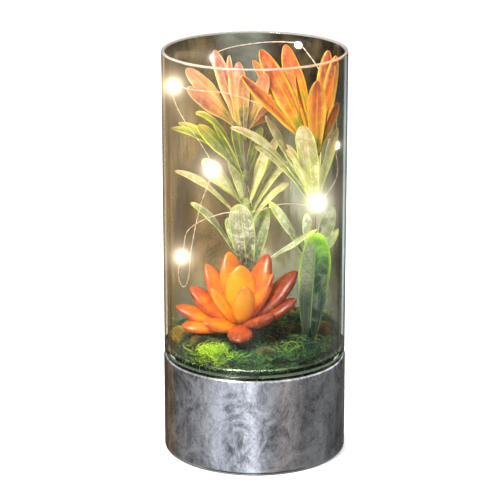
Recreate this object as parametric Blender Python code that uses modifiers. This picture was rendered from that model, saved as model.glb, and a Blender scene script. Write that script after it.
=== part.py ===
"""Lit terrarium: an open glass cylinder with plants, standing on a mirrored base.

The origin is the centre of the base's foot. +Z is up and the front is -Y.
The glass holds a bed of moss, a fleshy rosette, two leafy sprays, one dark leaf
and a formed wire with glowing beads. The base holds the batteries and the switch.
"""
import math

import bmesh
import bpy
from mathutils import Vector

MM = 0.001
UP = Vector((0.0, 0.0, 1.0))

# Clearance between two pieces that touch on the real object
GAP = 0.3 * MM

# Mirrored base: a glass cup turned upside down, open below
BASE_RADIUS = 50.0 * MM
BASE_HEIGHT = 54.4 * MM
BASE_WALL = 2.6 * MM
BASE_TOP = 3.0 * MM
BASE_ROUND = 1.6 * MM

# Glass cylinder: an open cup with a thick floor
GLASS_RADIUS = 49.7 * MM
GLASS_TOP = 223.6 * MM
GLASS_WALL = 2.0 * MM
GLASS_FLOOR = 3.0 * MM
GLASS_OUTER_ROUND = 3.0 * MM
GLASS_INNER_ROUND = 3.5 * MM
WIRE_HOLE_RADIUS = 2.5 * MM
ROUND_SEGMENTS = 48
GLASS_BOTTOM = BASE_HEIGHT + GAP
FLOOR_Z = GLASS_BOTTOM + GLASS_FLOOR
INNER_RADIUS = GLASS_RADIUS - GLASS_WALL

# Plate that closes the base, with the battery opening and the switch slot
PLATE_RADIUS = BASE_RADIUS - BASE_WALL - GAP
PLATE_BOTTOM = 2.0 * MM
PLATE_THICK = 3.5 * MM
PLATE_TOP = PLATE_BOTTOM + PLATE_THICK
DOOR_SIZE = Vector((52.0, 60.0, 1.8)) * MM
DOOR_Z = PLATE_BOTTOM + 0.2 * MM
BATTERY_ROOM = Vector((46.0, 54.0, 14.4)) * MM
BOX_WALL = 1.6 * MM

# Three round cells side by side, with a contact strip at each end
CELL_RADIUS = 7.2 * MM
CELL_LENGTH = 50.4 * MM
CELL_NUB_RADIUS = 2.7 * MM
CELL_NUB_LENGTH = 1.4 * MM
CELL_PITCH = 15.0 * MM
CELL_COUNT = 3
CELL_Z = DOOR_Z + DOOR_SIZE.z + GAP + CELL_RADIUS
STRIP_SIZE = Vector((43.0, 0.8, 9.0)) * MM

# Slide switch in the front part of the plate
SWITCH_Y = -38.5 * MM
SWITCH_TRAVEL = 4.0 * MM
KNOB_SIZE = Vector((4.4, 3.6, 4.0)) * MM
SLIDER_SIZE = Vector((6.4, 5.0, 3.2)) * MM
SWITCH_PLAY = 0.5 * MM
HOUSING_SIZE = Vector((17.0, 8.6, 5.8)) * MM

# Moss bed: it fills the glass from the floor up to a soft uneven top
MOSS_TOP = 67.0 * MM
MOSS_EDGE_DROP = 3.0 * MM
MOSS_WAVE = 1.1 * MM
MOSS_WAVE_LENGTH = Vector((9.0, 8.0)) * MM
MOSS_RADIUS = INNER_RADIUS - 1.4 * MM
MOSS_SEGMENTS = 36
MOSS_RINGS = 7
STEM_HOLE_PLAY = 0.35 * MM

# Stems: round wires, each from its foot in the moss to its top whorl
STEM_RADIUS = 1.3 * MM
STEM_LEFT_FOOT = Vector((-2.5, 7.0, 61.0)) * MM
STEM_LEFT_TOP = Vector((-6.0, 6.0, 178.0)) * MM
STEM_RIGHT_FOOT = Vector((31.0, 4.0, 61.0)) * MM
STEM_RIGHT_TOP = Vector((33.0, 2.0, 167.0)) * MM
STEMS = {
    "left": (STEM_LEFT_FOOT, STEM_LEFT_TOP),
    "right": (STEM_RIGHT_FOOT, STEM_RIGHT_TOP),
}
HUB_RADIUS = 2.7 * MM
HUB_BORE = STEM_RADIUS + STEM_HOLE_PLAY
HUB_SIDES = 12
LEAF_THICK = 0.7 * MM
LEAF_FOLD = 0.22
LEAF_ROOT_SHARE = 0.42
LEAF_TIP_SHARE = 0.25
BROAD_WIDTH = 11.0 * MM
BROAD_LEAN = 2.1
NARROW_LEAN = 1.7
LEAF_STATIONS = (0.0, 0.24, 0.5, 0.75, 0.92, 1.0)

# Leaves of each whorl: bearing in degrees (0 right, 90 back, 180 left, 270 front),
# then in millimetres how far out and up the tip lies from the whorl's hub, the
# width and the root's level on the hub, then the bow (a share of the length) and
# the twist in degrees of the blade about its own line.
WHORL_LEFT_1 = (
    (174, 31, 33, 9.0, 0, 0.10, 55),
    (201, 32, 26, 8.5, 0, 0.06, 55),
    (150, 18, 42, 7.5, 0, 0.04, 40),
    (215, 9, 42, 9.0, 0, 0.03, 10),
    (270, 16, 34, 6.0, 0, 0.10, 0),
    (20, 13, 30, 9.0, 0, 0.08, -40),
    (52, 23, 3, 5.0, 0, 0.16, -30),
    (50, 28, 15, 6.0, 0, 0.10, -40),
    (100, 16, 34, 7.0, 0, 0.08, 0),
)
WHORL_LEFT_2 = (
    (194, 26, 29, 8.0, 0, 0.14, 60),
    (187, 40, 27, 4.8, 0, 0.30, 40),
    (168, 37, 27, 4.5, 0, 0.26, 40),
    (213, 31, 38, 5.6, 0, 0.42, 40),
    (172, 18, 32, 4.8, 0, 0.10, 40),
    (62, 20, 22, 5.0, 0, 0.20, -30),
    (105, 22, 24, 6.0, 0, 0.12, 0),
)
WHORL_LEFT_3 = (
    (189, 24, 25, 9.5, 0, 0.18, 50),
    (191, 39, 20, 4.8, -12, 0.26, 40),
    (44, 26, 34, 5.2, 0, 0.14, -40),
    (20, 25, 9, 6.5, -12, 0.32, -20),
    (28, 26, 20, 5.2, -8, 0.26, -30),
    (24, 13, 31, 6.0, 0, 0.06, -40),
    (110, 24, 20, 7.0, 0, 0.22, 0),
    (150, 26, 14, 6.0, 0, 0.14, 20),
)
WHORL_LEFT_4 = (
    (258, 21, 45, 13.5, 0, 0.10, 0),
    (200, 33, 43, 5.4, 0, 0.30, 45),
    (30, 12, 36, 7.6, 0, 0.06, -50),
    (335, 41, 30, 7.5, 0, 0.08, -20),
    (122, 22, 26, 7.0, 0, 0.20, 0),
    (80, 18, 30, 6.0, 0, 0.10, 0),
)
WHORL_RIGHT_1 = (
    (155, 33, 53, 10.0, 0, 0.03, 55),
    (151, 39, 46, 6.5, 0, 0.08, 50),
    (126, 28, 54, 10.5, 0, 0.03, 20),
    (68, 18, 52, 8.0, 0, 0.08, -30),
    (36, 13, 51, 7.0, 0, 0.04, -50),
    (322, 12, 49, 8.4, 0, 0.04, -40),
    (202, 43, 45, 8.0, 0, 0.06, 55),
    (270, 17, 43, 9.5, 0, 0.08, 0),
    (345, 12, 28, 5.2, 0, 0.05, -60),
    (54, 13, 25, 5.2, 0, 0.08, -30),
    (208, 13, 43, 10.0, 0, 0.05, 30),
)
WHORL_RIGHT_2 = (
    (207, 30, 50, 7.2, 0, 0.10, 50),
    (253, 21, 46, 12.0, 0, 0.10, 10),
    (235, 26, 33, 8.0, 0, 0.22, 20),
    (199, 48, 44, 5.6, 0, 0.28, 45),
    (203, 35, 33, 5.2, -4, 0.24, 45),
    (2, 12, 40, 4.8, 0, 0.08, -60),
    (305, 13, 37, 6.0, 0, 0.08, -30),
    (90, 20, 34, 7.0, 0, 0.10, 0),
    (128, 24, 26, 6.0, 0, 0.12, 10),
)
WHORL_RIGHT_3 = (
    (183, 24, 36, 6.0, 0, 0.16, 50),
    (32, 13, 31, 8.0, 0, 0.06, -50),
    (350, 14, 21, 5.2, 0, 0.06, -50),
    (100, 18, 24, 6.0, 0, 0.12, 0),
)
# Each whorl: its name, its stem, the height of its hub, the hub's length below
# that height, its leaves, and whether it caps the stem
WHORLS = (
    ("whorl_left_1", "left", 178.0, 6.0, WHORL_LEFT_1, True),
    ("whorl_left_2", "left", 153.0, 6.0, WHORL_LEFT_2, False),
    ("whorl_left_3", "left", 137.0, 15.0, WHORL_LEFT_3, False),
    ("whorl_left_4", "left", 97.0, 6.0, WHORL_LEFT_4, False),
    ("whorl_right_1", "right", 167.0, 6.0, WHORL_RIGHT_1, True),
    ("whorl_right_2", "right", 140.0, 8.0, WHORL_RIGHT_2, False),
    ("whorl_right_3", "right", 103.0, 6.0, WHORL_RIGHT_3, False),
)
HUB_ABOVE = 3.0 * MM

# Dark leaf at the right front, on its own round stalk
DARK_LEAF_FOOT = Vector((29.5, -19.0, 61.0)) * MM
DARK_LEAF_NECK = Vector((29.8, -19.0, 70.0)) * MM
DARK_LEAF_TIP = Vector((33.0, -17.0, 127.0)) * MM
DARK_LEAF_WIDTH = 16.5 * MM
DARK_LEAF_TWIST = -15.0

# Rosette: petals round a short core that leans to the front, in millimetres from
# the core's top: bearing, out, up, width, thickness and bow
CORE_TOP = Vector((-7.0, -16.0, 75.0)) * MM
CORE_RADIUS = 5.0 * MM
CORE_FOOT_Z = 63.0 * MM
ROSETTE_LEAN = 20.0
PETALS = (
    (174, 36, 9, 12.0, 6.0, 0.06),
    (186, 33, 0, 12.0, 5.8, 0.02),
    (212, 24, 5, 12.5, 5.8, 0.08),
    (267, 26, -1, 14.0, 5.8, 0.00),
    (314, 24, 10, 12.5, 6.2, 0.05),
    (354, 30, 15, 12.5, 6.2, 0.06),
    (32, 28, 14, 11.0, 5.4, 0.05),
    (66, 18, 17, 10.0, 5.4, 0.05),
    (108, 24, 15, 11.0, 5.4, 0.05),
    (142, 28, 13, 12.0, 5.6, 0.05),
    (168, 29, 19, 14.5, 7.0, 0.06),
    (154, 22, 31, 15.0, 7.4, 0.05),
    (120, 15, 37, 15.5, 7.0, 0.04),
    (40, 19, 36, 15.0, 7.4, 0.04),
    (12, 31, 28, 16.0, 7.2, 0.05),
    (200, 17, 22, 11.5, 6.0, 0.08),
    (280, 11, 25, 12.5, 6.6, 0.08),
    (6, 17, 28, 11.5, 6.2, 0.06),
    (97, 5, 32, 17.0, 6.0, 0.03),
    (76, 12, 27, 12.0, 5.4, 0.04),
)
PETAL_STATIONS = (0.0, 0.3, 0.58, 0.8, 0.94, 1.0)
PETAL_ROOT_SHARE = 0.5
PETAL_WIDEST = 0.58
PETAL_TIP_SHARE = 0.2
PETAL_SIDES = 6

# Mounds of the moss bed: centre, height and spread
MOUNDS = (
    (Vector((33.0, 12.0)) * MM, 4.5 * MM, 14.0 * MM),
    (CORE_TOP.xy, 3.0 * MM, 13.0 * MM),
)

# Clumps of moss in other colours: place, half sizes and colour
CLUMPS = (
    ("moss_clump_lime", (-21.0, -31.0, 65.0), (9.0, 7.0, 3.2), (0.35, 0.62, 0.05)),
    ("moss_clump_yellow", (-41.0, -10.0, 66.0), (4.2, 8.0, 3.6), (0.62, 0.60, 0.10)),
    ("moss_clump_rust_1", (-29.0, -22.0, 67.0), (4.6, 4.0, 3.0), (0.55, 0.30, 0.06)),
    ("moss_clump_rust_2", (6.0, -37.0, 64.5), (5.0, 4.0, 3.0), (0.42, 0.30, 0.12)),
    ("moss_clump_rust_3", (38.0, -8.0, 69.0), (4.6, 5.0, 3.2), (0.60, 0.36, 0.10)),
)

# Light string: one formed wire with beads; the points lie in millimetres from the
# battery box up through both glass bottoms, and a marked point carries a bead
WIRE_RADIUS = 0.5 * MM
WIRE_STEP = 9.0 * MM
BEAD_RADIUS = 2.0 * MM
BEAD_LENGTH = 5.0 * MM
BEAD_BORE = WIRE_RADIUS + 0.4 * MM
BEAD_SIDES = 10
WIRE_ROUTE = (
    ((0, 0, 22.4), False),
    ((0, 0, 40), False),
    ((0, 0, 57), False),
    ((0, 0, 70), False),
    ((3, 6, 82), False),
    ((3, 24, 104), False),
    ((-4, 36, 140), False),
    ((-14, 36, 190), False),
    ((-22, 33, 212), True),
    ((0, 42, 218), False),
    ((24, 37, 218), True),
    ((39, 24, 200), False),
    ((44, 12, 184), False),
    ((44, 8, 169), True),
    ((44, -8, 156), False),
    ((33, -22, 145), True),
    ((15, -31, 147), False),
    ((0, -31, 143), False),
    ((-18, -29, 141), False),
    ((-35, -24, 131), False),
    ((-39, -20, 115), True),
    ((-41, -19, 105), False),
    ((-38.5, -22.5, 98.5), False),
    ((-35.5, -24.5, 104), False),
    ((-34, -24, 119), False),
    ((-29, -17, 142), False),
    ((-23, -15, 162), True),
    ((-29, -21, 178), False),
    ((-39, -20, 193), False),
    ((-43, -10, 206), True),
    ((-36, -21, 207), False),
    ((-14, -24, 205), False),
    ((3, -23, 199), False),
)

COLOURS = {
    "mirror": (0.72, 0.72, 0.74),
    "glass": (0.55, 0.52, 0.45),
    "black": (0.03, 0.03, 0.03),
    "grey": (0.25, 0.25, 0.26),
    "cell": (0.12, 0.30, 0.20),
    "nickel": (0.70, 0.70, 0.70),
    "copper": (0.80, 0.55, 0.38),
    "bead": (1.0, 0.93, 0.78),
    "moss": (0.06, 0.16, 0.04),
    "orange": (0.90, 0.32, 0.08),
    "green": (0.30, 0.48, 0.10),
    "pale": (0.68, 0.74, 0.50),
    "dark_leaf": (0.08, 0.24, 0.10),
    "stem": (0.22, 0.30, 0.12),
}
WHORL_COLOURS = {
    "whorl_left_1": "orange",
    "whorl_left_2": "green",
    "whorl_left_3": "pale",
    "whorl_left_4": "pale",
    "whorl_right_1": "orange",
    "whorl_right_2": "pale",
    "whorl_right_3": "pale",
}


def start_clean():
    """Remove what the scene holds, and make the two collections."""
    for thing in list(bpy.data.objects):
        bpy.data.objects.remove(thing, do_unlink=True)
    parts = bpy.data.collections.new("terrarium")
    cutters = bpy.data.collections.new("cutters")
    bpy.context.scene.collection.children.link(parts)
    bpy.context.scene.collection.children.link(cutters)
    return parts, cutters


def finish_material(name, colour, roughness, metallic=0.0, alpha=1.0):
    """One Principled material."""
    material = bpy.data.materials.new(name)
    material.use_nodes = True
    shader = material.node_tree.nodes["Principled BSDF"]
    shader.inputs["Base Color"].default_value = (*colour, 1.0)
    shader.inputs["Roughness"].default_value = roughness
    shader.inputs["Metallic"].default_value = metallic
    shader.inputs["Alpha"].default_value = alpha
    return material


def new_object(name, mesh, collection, material=None):
    """Link a mesh as an object, with its material."""
    thing = bpy.data.objects.new(name, mesh)
    collection.objects.link(thing)
    if material is not None:
        mesh.materials.clear()
        mesh.materials.append(material)
    return thing


def smooth(thing, degrees=40):
    """Shade an object smooth, with sharp edges kept."""
    thing.data.shade_smooth()
    thing.data.set_sharp_from_angle(angle=math.radians(degrees))


def applied(thing):
    """Replace an object's mesh with the mesh its modifiers make."""
    graph = bpy.context.evaluated_depsgraph_get()
    graph.update()
    mesh = bpy.data.meshes.new_from_object(thing.evaluated_get(graph))
    thing.modifiers.clear()
    thing.data = mesh


def arc(centre_x, centre_z, radius, start, end, steps):
    """Points of an arc in a profile, with angles in degrees."""
    points = []
    for index in range(steps + 1):
        angle = math.radians(start + (end - start) * index / steps)
        points.append((centre_x + radius * math.cos(angle), centre_z + radius * math.sin(angle)))
    return points


def turned(name, profile, closed, segments, collection, material):
    """Turn a profile of (radius, height) points about Z."""
    mesh = bpy.data.meshes.new(name)
    count = len(profile)
    edges = [(index, index + 1) for index in range(count - 1)]
    if closed:
        edges.append((count - 1, 0))
    mesh.from_pydata([(radius, 0.0, height) for radius, height in profile], edges, [])
    thing = new_object(name, mesh, collection, material)
    screw = thing.modifiers.new("Turn", "SCREW")
    screw.steps = segments
    screw.render_steps = segments
    screw.use_merge_vertices = True
    screw.merge_threshold = 0.00001
    screw.use_smooth_shade = True
    return thing


def block(name, size, centre, collection, material=None):
    """A plain box of a given size about its centre."""
    mesh = bpy.data.meshes.new(name)
    box = bmesh.new()
    bmesh.ops.create_cube(box, size=1.0)
    bmesh.ops.scale(box, vec=size, verts=box.verts)
    box.to_mesh(mesh)
    box.free()
    thing = new_object(name, mesh, collection, material)
    thing.location = centre
    return thing


def rod(name, start, end, radius, sides, collection, material=None):
    """A closed cylinder between two points."""
    line = end - start
    mesh = bpy.data.meshes.new(name)
    shape = bmesh.new()
    bmesh.ops.create_cone(
        shape, cap_ends=True, segments=sides, radius1=radius, radius2=radius, depth=line.length,
    )
    shape.to_mesh(mesh)
    shape.free()
    thing = new_object(name, mesh, collection, material)
    thing.rotation_mode = "QUATERNION"
    thing.rotation_quaternion = UP.rotation_difference(line)
    thing.location = (start + end) / 2.0
    return thing


def as_cutter(thing):
    """Mark an object as a cutting tool."""
    thing.hide_render = True
    thing.display_type = "WIRE"
    return thing


def cut(thing, cutter, solver="EXACT"):
    """Subtract one cutter, live."""
    change = thing.modifiers.new("Cut", "BOOLEAN")
    change.operation = "DIFFERENCE"
    change.solver = solver
    change.object = as_cutter(cutter)


def fused(body, pieces):
    """Join a body and the pieces in a collection to one solid, and remove them."""
    change = body.modifiers.new("Join", "BOOLEAN")
    change.operation = "UNION"
    change.operand_type = "COLLECTION"
    change.solver = "MANIFOLD"
    change.collection = pieces
    applied(body)
    for piece in list(pieces.objects):
        bpy.data.objects.remove(piece, do_unlink=True)
    bpy.data.collections.remove(pieces)


def make_mirror_base(parts):
    """The base: closed top with a wire hole, straight wall, open below."""
    material = finish_material("mirror_base", COLOURS["mirror"], 0.12, 1.0)
    inner = BASE_RADIUS - BASE_WALL
    profile = [(WIRE_HOLE_RADIUS, BASE_HEIGHT)]
    profile += arc(BASE_RADIUS - BASE_ROUND, BASE_HEIGHT - BASE_ROUND, BASE_ROUND, 90, 0, 3)
    profile += arc(BASE_RADIUS - BASE_ROUND, BASE_ROUND, BASE_ROUND, 0, -90, 3)
    profile += [(inner, 0.0), (inner, BASE_HEIGHT - BASE_TOP), (WIRE_HOLE_RADIUS, BASE_HEIGHT - BASE_TOP)]
    return turned("mirror_base", profile, True, ROUND_SEGMENTS, parts, material)


def make_glass(parts):
    """The cylinder: thick floor with a wire hole, round corners, fire-polished rim."""
    material = finish_material("glass_cylinder", COLOURS["glass"], 0.03, 0.0, 0.35)
    rim = GLASS_WALL / 2.0
    inner_x = INNER_RADIUS - GLASS_INNER_ROUND
    inner_z = FLOOR_Z + GLASS_INNER_ROUND
    profile = [(WIRE_HOLE_RADIUS, FLOOR_Z)]
    profile += arc(inner_x, inner_z, GLASS_INNER_ROUND, -90, 0, 4)
    profile += arc(GLASS_RADIUS - rim, GLASS_TOP - rim, rim, 180, 0, 4)
    corner_x = GLASS_RADIUS - GLASS_OUTER_ROUND
    corner_z = GLASS_BOTTOM + GLASS_OUTER_ROUND
    profile += arc(corner_x, corner_z, GLASS_OUTER_ROUND, 0, -90, 3)
    profile.append((WIRE_HOLE_RADIUS, GLASS_BOTTOM))
    return turned("glass_cylinder", profile, True, ROUND_SEGMENTS, parts, material)


def make_plate(parts, cutters):
    """The plate that closes the base, stepped round the battery door."""
    material = finish_material("base_plate", COLOURS["black"], 0.6)
    profile = [(0.0, PLATE_TOP), (PLATE_RADIUS, PLATE_TOP), (PLATE_RADIUS, PLATE_BOTTOM), (0.0, PLATE_BOTTOM)]
    plate = turned("base_plate", profile, False, ROUND_SEGMENTS, parts, material)
    smooth(plate)
    recess_size = DOOR_SIZE + Vector((2.0 * GAP, 2.0 * GAP, 0.0))
    recess_top = DOOR_Z + DOOR_SIZE.z + GAP
    recess_bottom = PLATE_BOTTOM - 1.0 * MM
    recess_size.z = recess_top - recess_bottom
    recess = block("cut_door", recess_size, (0.0, 0.0, (recess_top + recess_bottom) / 2.0), cutters)
    room_size = Vector((BATTERY_ROOM.x, BATTERY_ROOM.y, 4.0 * PLATE_THICK))
    room = block("cut_room", room_size, (0.0, 0.0, PLATE_TOP), cutters)
    slot_length = KNOB_SIZE.x + SWITCH_TRAVEL + 2.0 * SWITCH_PLAY
    slot_size = Vector((slot_length, KNOB_SIZE.y + 2.0 * SWITCH_PLAY, 4.0 * PLATE_THICK))
    slot = block("cut_slot", slot_size, (0.0, SWITCH_Y, PLATE_BOTTOM), cutters)
    for cutter in (recess, room, slot):
        cut(plate, cutter)


def make_battery_box(parts, cutters):
    """The case of the cells, open below, standing on the plate."""
    material = finish_material("battery_box", COLOURS["grey"], 0.55)
    outer = BATTERY_ROOM + Vector((2.0 * BOX_WALL, 2.0 * BOX_WALL, BOX_WALL))
    low = PLATE_TOP + GAP
    case = block("battery_box", outer, (0.0, 0.0, low + outer.z / 2.0), parts, material)
    room = Vector((BATTERY_ROOM.x, BATTERY_ROOM.y, 2.0 * BATTERY_ROOM.z))
    cut(case, block("cut_case", room, (0.0, 0.0, low), cutters))


def make_door(parts):
    """The battery door, flush with the plate, with three grip ribs."""
    material = finish_material("battery_door", COLOURS["black"], 0.5)
    door = block("battery_door", DOOR_SIZE, (0.0, 0.0, DOOR_Z + DOOR_SIZE.z / 2.0), parts, material)
    ribs = bpy.data.collections.new("door_ribs")
    rib_size = Vector((16.0, 1.2, 1.0)) * MM
    for index in range(3):
        place = (0.0, (-24.0 + 3.0 * index) * MM, DOOR_Z)
        block("rib", rib_size, place, ribs)
    bpy.context.scene.collection.children.link(ribs)
    fused(door, ribs)


def make_cells(parts):
    """Three cells and the contact strips at their ends."""
    half = CELL_LENGTH / 2.0
    body_top = half - CELL_NUB_LENGTH
    edge = 0.5 * MM
    profile = [
        (0.0, half),
        (CELL_NUB_RADIUS, half),
        (CELL_NUB_RADIUS, body_top),
        (CELL_RADIUS - edge, body_top),
        (CELL_RADIUS, body_top - edge),
        (CELL_RADIUS, -half + edge),
        (CELL_RADIUS - edge, -half),
        (0.0, -half),
    ]
    for index in range(CELL_COUNT):
        name = "battery_cell_%d" % (index + 1)
        material = finish_material(name, COLOURS["cell"], 0.35)
        cell = turned(name, profile, False, 16, parts, material)
        turn = 90.0 if index % 2 == 0 else -90.0
        cell.rotation_euler = (math.radians(turn), 0.0, 0.0)
        cell.location = ((index - 1) * CELL_PITCH, 0.0, CELL_Z)
    strip_y = half + GAP + STRIP_SIZE.y / 2.0
    for index, side in enumerate((-1.0, 1.0)):
        name = "contact_strip_%d" % (index + 1)
        material = finish_material(name, COLOURS["nickel"], 0.25, 1.0)
        block(name, STRIP_SIZE, (0.0, side * strip_y, CELL_Z), parts, material)


def make_switch(parts, cutters):
    """The slide switch: a housing over the slot and the slider in it."""
    dark = finish_material("switch_housing", COLOURS["grey"], 0.5)
    light = finish_material("switch_slider", COLOURS["mirror"], 0.4)
    low = PLATE_TOP + GAP
    housing = block("switch_housing", HOUSING_SIZE, (0.0, SWITCH_Y, low + HOUSING_SIZE.z / 2.0), parts, dark)
    room = Vector((
        SLIDER_SIZE.x + SWITCH_TRAVEL + 2.0 * SWITCH_PLAY,
        SLIDER_SIZE.y + 2.0 * SWITCH_PLAY,
        2.0 * (SLIDER_SIZE.z + 2.0 * GAP),
    ))
    cut(housing, block("cut_housing", room, (0.0, SWITCH_Y, low), cutters))
    rest_x = -SWITCH_TRAVEL / 2.0
    body_z = low + GAP / 2.0 + SLIDER_SIZE.z / 2.0
    slider = block("switch_slider", SLIDER_SIZE, (rest_x, SWITCH_Y, body_z), parts, light)
    knobs = bpy.data.collections.new("knobs")
    bpy.context.scene.collection.children.link(knobs)
    knob_z = low + 0.5 * MM - KNOB_SIZE.z / 2.0
    block("knob", KNOB_SIZE, (rest_x, SWITCH_Y, knob_z), knobs)
    fused(slider, knobs)


def moss_height(spot):
    """Height of the moss top above its plain level at a spot in the plane."""
    height = -MOSS_EDGE_DROP * (spot.length / MOSS_RADIUS) ** 4
    height += MOSS_WAVE * math.sin(spot.x / MOSS_WAVE_LENGTH.x + 1.0) * math.cos(spot.y / MOSS_WAVE_LENGTH.y)
    for centre, rise, spread in MOUNDS:
        height += rise * math.exp(-((spot - centre).length / spread) ** 2)
    return height


def make_moss_bed(parts, cutters):
    """The bed, with plain holes for what stands in it and hollows under the clumps."""
    material = finish_material("moss_bed", COLOURS["moss"], 0.95)
    corner_x = INNER_RADIUS - GLASS_INNER_ROUND
    corner_z = FLOOR_Z + GLASS_INNER_ROUND
    profile = []
    for index in range(MOSS_RINGS):
        profile.append((MOSS_RADIUS * index / (MOSS_RINGS - 1), MOSS_TOP))
    profile += arc(corner_x, corner_z, GLASS_INNER_ROUND - 2.0 * GAP, -45, -90, 2)
    profile.append((0.0, FLOOR_Z + 2.0 * GAP))
    bed = turned("moss_bed", profile, False, MOSS_SEGMENTS, parts, material)
    applied(bed)
    for vertex in bed.data.vertices:
        if vertex.co.z > MOSS_TOP - 0.1 * MM:
            vertex.co.z += moss_height(vertex.co.xy)
    holes = (
        ("hole_left", STEM_LEFT_FOOT, STEM_RADIUS),
        ("hole_right", STEM_RIGHT_FOOT, STEM_RADIUS),
        ("hole_dark", DARK_LEAF_FOOT, STEM_RADIUS),
        ("hole_core", Vector((CORE_TOP.x, CORE_TOP.y, CORE_FOOT_Z)), CORE_RADIUS),
    )
    lift = Vector((0.0, 0.0, 20.0 * MM))
    for name, foot, radius in holes:
        start = foot - Vector((0.0, 0.0, GAP))
        cut(bed, rod(name, start, start + lift, radius + STEM_HOLE_PLAY, HUB_SIDES, cutters), "MANIFOLD")
    wire_low = Vector((0.0, 0.0, GLASS_BOTTOM))
    wire_hole = rod("hole_wire", wire_low, wire_low + 1.5 * lift, WIRE_HOLE_RADIUS, HUB_SIDES, cutters)
    cut(bed, wire_hole, "MANIFOLD")
    for name, place, half_sizes, colour in CLUMPS:
        grown = [size + STEM_HOLE_PLAY / MM for size in half_sizes]
        cut(bed, lump("cut_" + name, place, grown, cutters, None), "MANIFOLD")


def lump(name, place, half_sizes, collection, material):
    """A low rounded clump."""
    mesh = bpy.data.meshes.new(name)
    ball = bmesh.new()
    bmesh.ops.create_icosphere(ball, subdivisions=2, radius=1.0)
    bmesh.ops.scale(ball, vec=Vector(half_sizes) * MM, verts=ball.verts)
    ball.to_mesh(mesh)
    ball.free()
    thing = new_object(name, mesh, collection, material)
    thing.location = Vector(place) * MM
    return thing


def make_clumps(parts):
    """Clumps of lime, yellow and rust moss, seated in the bed."""
    for name, place, half_sizes, colour in CLUMPS:
        lump(name, place, half_sizes, parts, finish_material(name, colour, 0.95))


def blade_share(part, width):
    """Width of a leaf at a share of its length; a broad leaf is widest near its tip."""
    lean = BROAD_LEAN if width > BROAD_WIDTH else NARROW_LEAN
    swell = max(math.sin(math.pi * part ** lean), 0.0)
    return max(LEAF_ROOT_SHARE * (1.0 - part) + 0.92 * swell ** 0.5, LEAF_TIP_SHARE)


def petal_share(part):
    """Width of a petal at a share of its length; it ends in a blunt point."""
    if part < PETAL_WIDEST:
        swell = math.sin(0.5 * math.pi * part / PETAL_WIDEST)
        return PETAL_ROOT_SHARE + (1.0 - PETAL_ROOT_SHARE) * swell
    end = (part - PETAL_WIDEST) / (1.0 - PETAL_WIDEST)
    return max(max(1.0 - end ** 2, 0.0) ** 0.62, PETAL_TIP_SHARE)


def bowed_line(root, tip, bow, part):
    """Point and direction on a line that bows upward between two ends."""
    middle = (root + tip) / 2.0 + UP * (bow * (tip - root).length)
    point = root * (1.0 - part) ** 2 + middle * (2.0 * part * (1.0 - part)) + tip * part ** 2
    direction = (middle - root) * (1.0 - part) + (tip - middle) * part
    return point, direction.normalized()


def leaf(name, root, tip, away, width, bow, twist, collection):
    """A thin folded blade along a bowed line that leads away from a stem."""
    across = Vector((-away.y, away.x, 0.0))
    shape = bmesh.new()
    rings = []
    for part in LEAF_STATIONS:
        point, direction = bowed_line(root, tip, bow, part)
        face = across.cross(direction).normalized()
        turn = math.radians(twist) * min(1.0, 1.6 * part)
        side = across * math.cos(turn) + face * math.sin(turn)
        face = face * math.cos(turn) - across * math.sin(turn)
        half = max(0.5 * width * blade_share(part, width), 0.35 * MM)
        rise = face * (LEAF_FOLD * half)
        lift = face * (LEAF_THICK / 2.0)
        spots = (
            point - side * half + rise + lift,
            point + lift,
            point + side * half + rise + lift,
            point + side * half + rise - lift,
            point - lift,
            point - side * half + rise - lift,
        )
        rings.append([shape.verts.new(spot) for spot in spots])
    for first, second in zip(rings, rings[1:]):
        for index in range(6):
            after = (index + 1) % 6
            if index < 3:
                shape.faces.new((first[index], first[after], second[after]))
                shape.faces.new((first[index], second[after], second[index]))
            else:
                shape.faces.new((first[index], first[after], second[index]))
                shape.faces.new((first[after], second[after], second[index]))
    for ring in (rings[0][::-1], rings[-1]):
        shape.faces.new((ring[0], ring[1], ring[4], ring[5]))
        shape.faces.new((ring[1], ring[2], ring[3], ring[4]))
    bmesh.ops.recalc_face_normals(shape, faces=shape.faces)
    mesh = bpy.data.meshes.new(name)
    shape.to_mesh(mesh)
    shape.free()
    return new_object(name, mesh, collection)


def stem_point(stem, height):
    """Point on a stem's line at a height in metres."""
    foot, top = STEMS[stem]
    share = (height - foot.z) / (top.z - foot.z)
    return foot.lerp(top, share)


def make_whorl(name, stem, height, below, leaves, caps_stem, parts, cutters):
    """A hub on the stem with its ring of leaves, fused and bored."""
    centre = stem_point(stem, height * MM)
    low = stem_point(stem, (height - below) * MM)
    high = stem_point(stem, height * MM + HUB_ABOVE)
    colour = COLOURS[WHORL_COLOURS[name]]
    hub = rod(name, low, high, HUB_RADIUS, HUB_SIDES, parts, finish_material(name, colour, 0.5))
    blades = bpy.data.collections.new(name + "_blades")
    bpy.context.scene.collection.children.link(blades)
    for bearing, out, rise, width, level, bow, twist in leaves:
        angle = math.radians(bearing)
        away = Vector((math.cos(angle), math.sin(angle), 0.0))
        start = stem_point(stem, (height + level) * MM)
        root = start + away * (HUB_BORE + 0.2 * MM)
        tip = centre + away * (out * MM) + UP * (rise * MM)
        leaf("blade", root, tip, away, width * MM, bow, twist, blades)
    fused(hub, blades)
    bore_low = stem_point(stem, (height - below) * MM - 1.0 * MM)
    bore_high = centre if caps_stem else stem_point(stem, height * MM + 2.0 * HUB_ABOVE)
    cut(hub, rod("bore_" + name, bore_low, bore_high, HUB_BORE, HUB_SIDES, cutters))


def make_stems(parts):
    """The two stems, from their holes in the moss to their caps."""
    for name, (foot, top) in STEMS.items():
        end = top - (top - foot).normalized() * GAP
        material = finish_material("stem_" + name, COLOURS["stem"], 0.6)
        rod("stem_" + name, foot, end, STEM_RADIUS, 10, parts, material)


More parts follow.
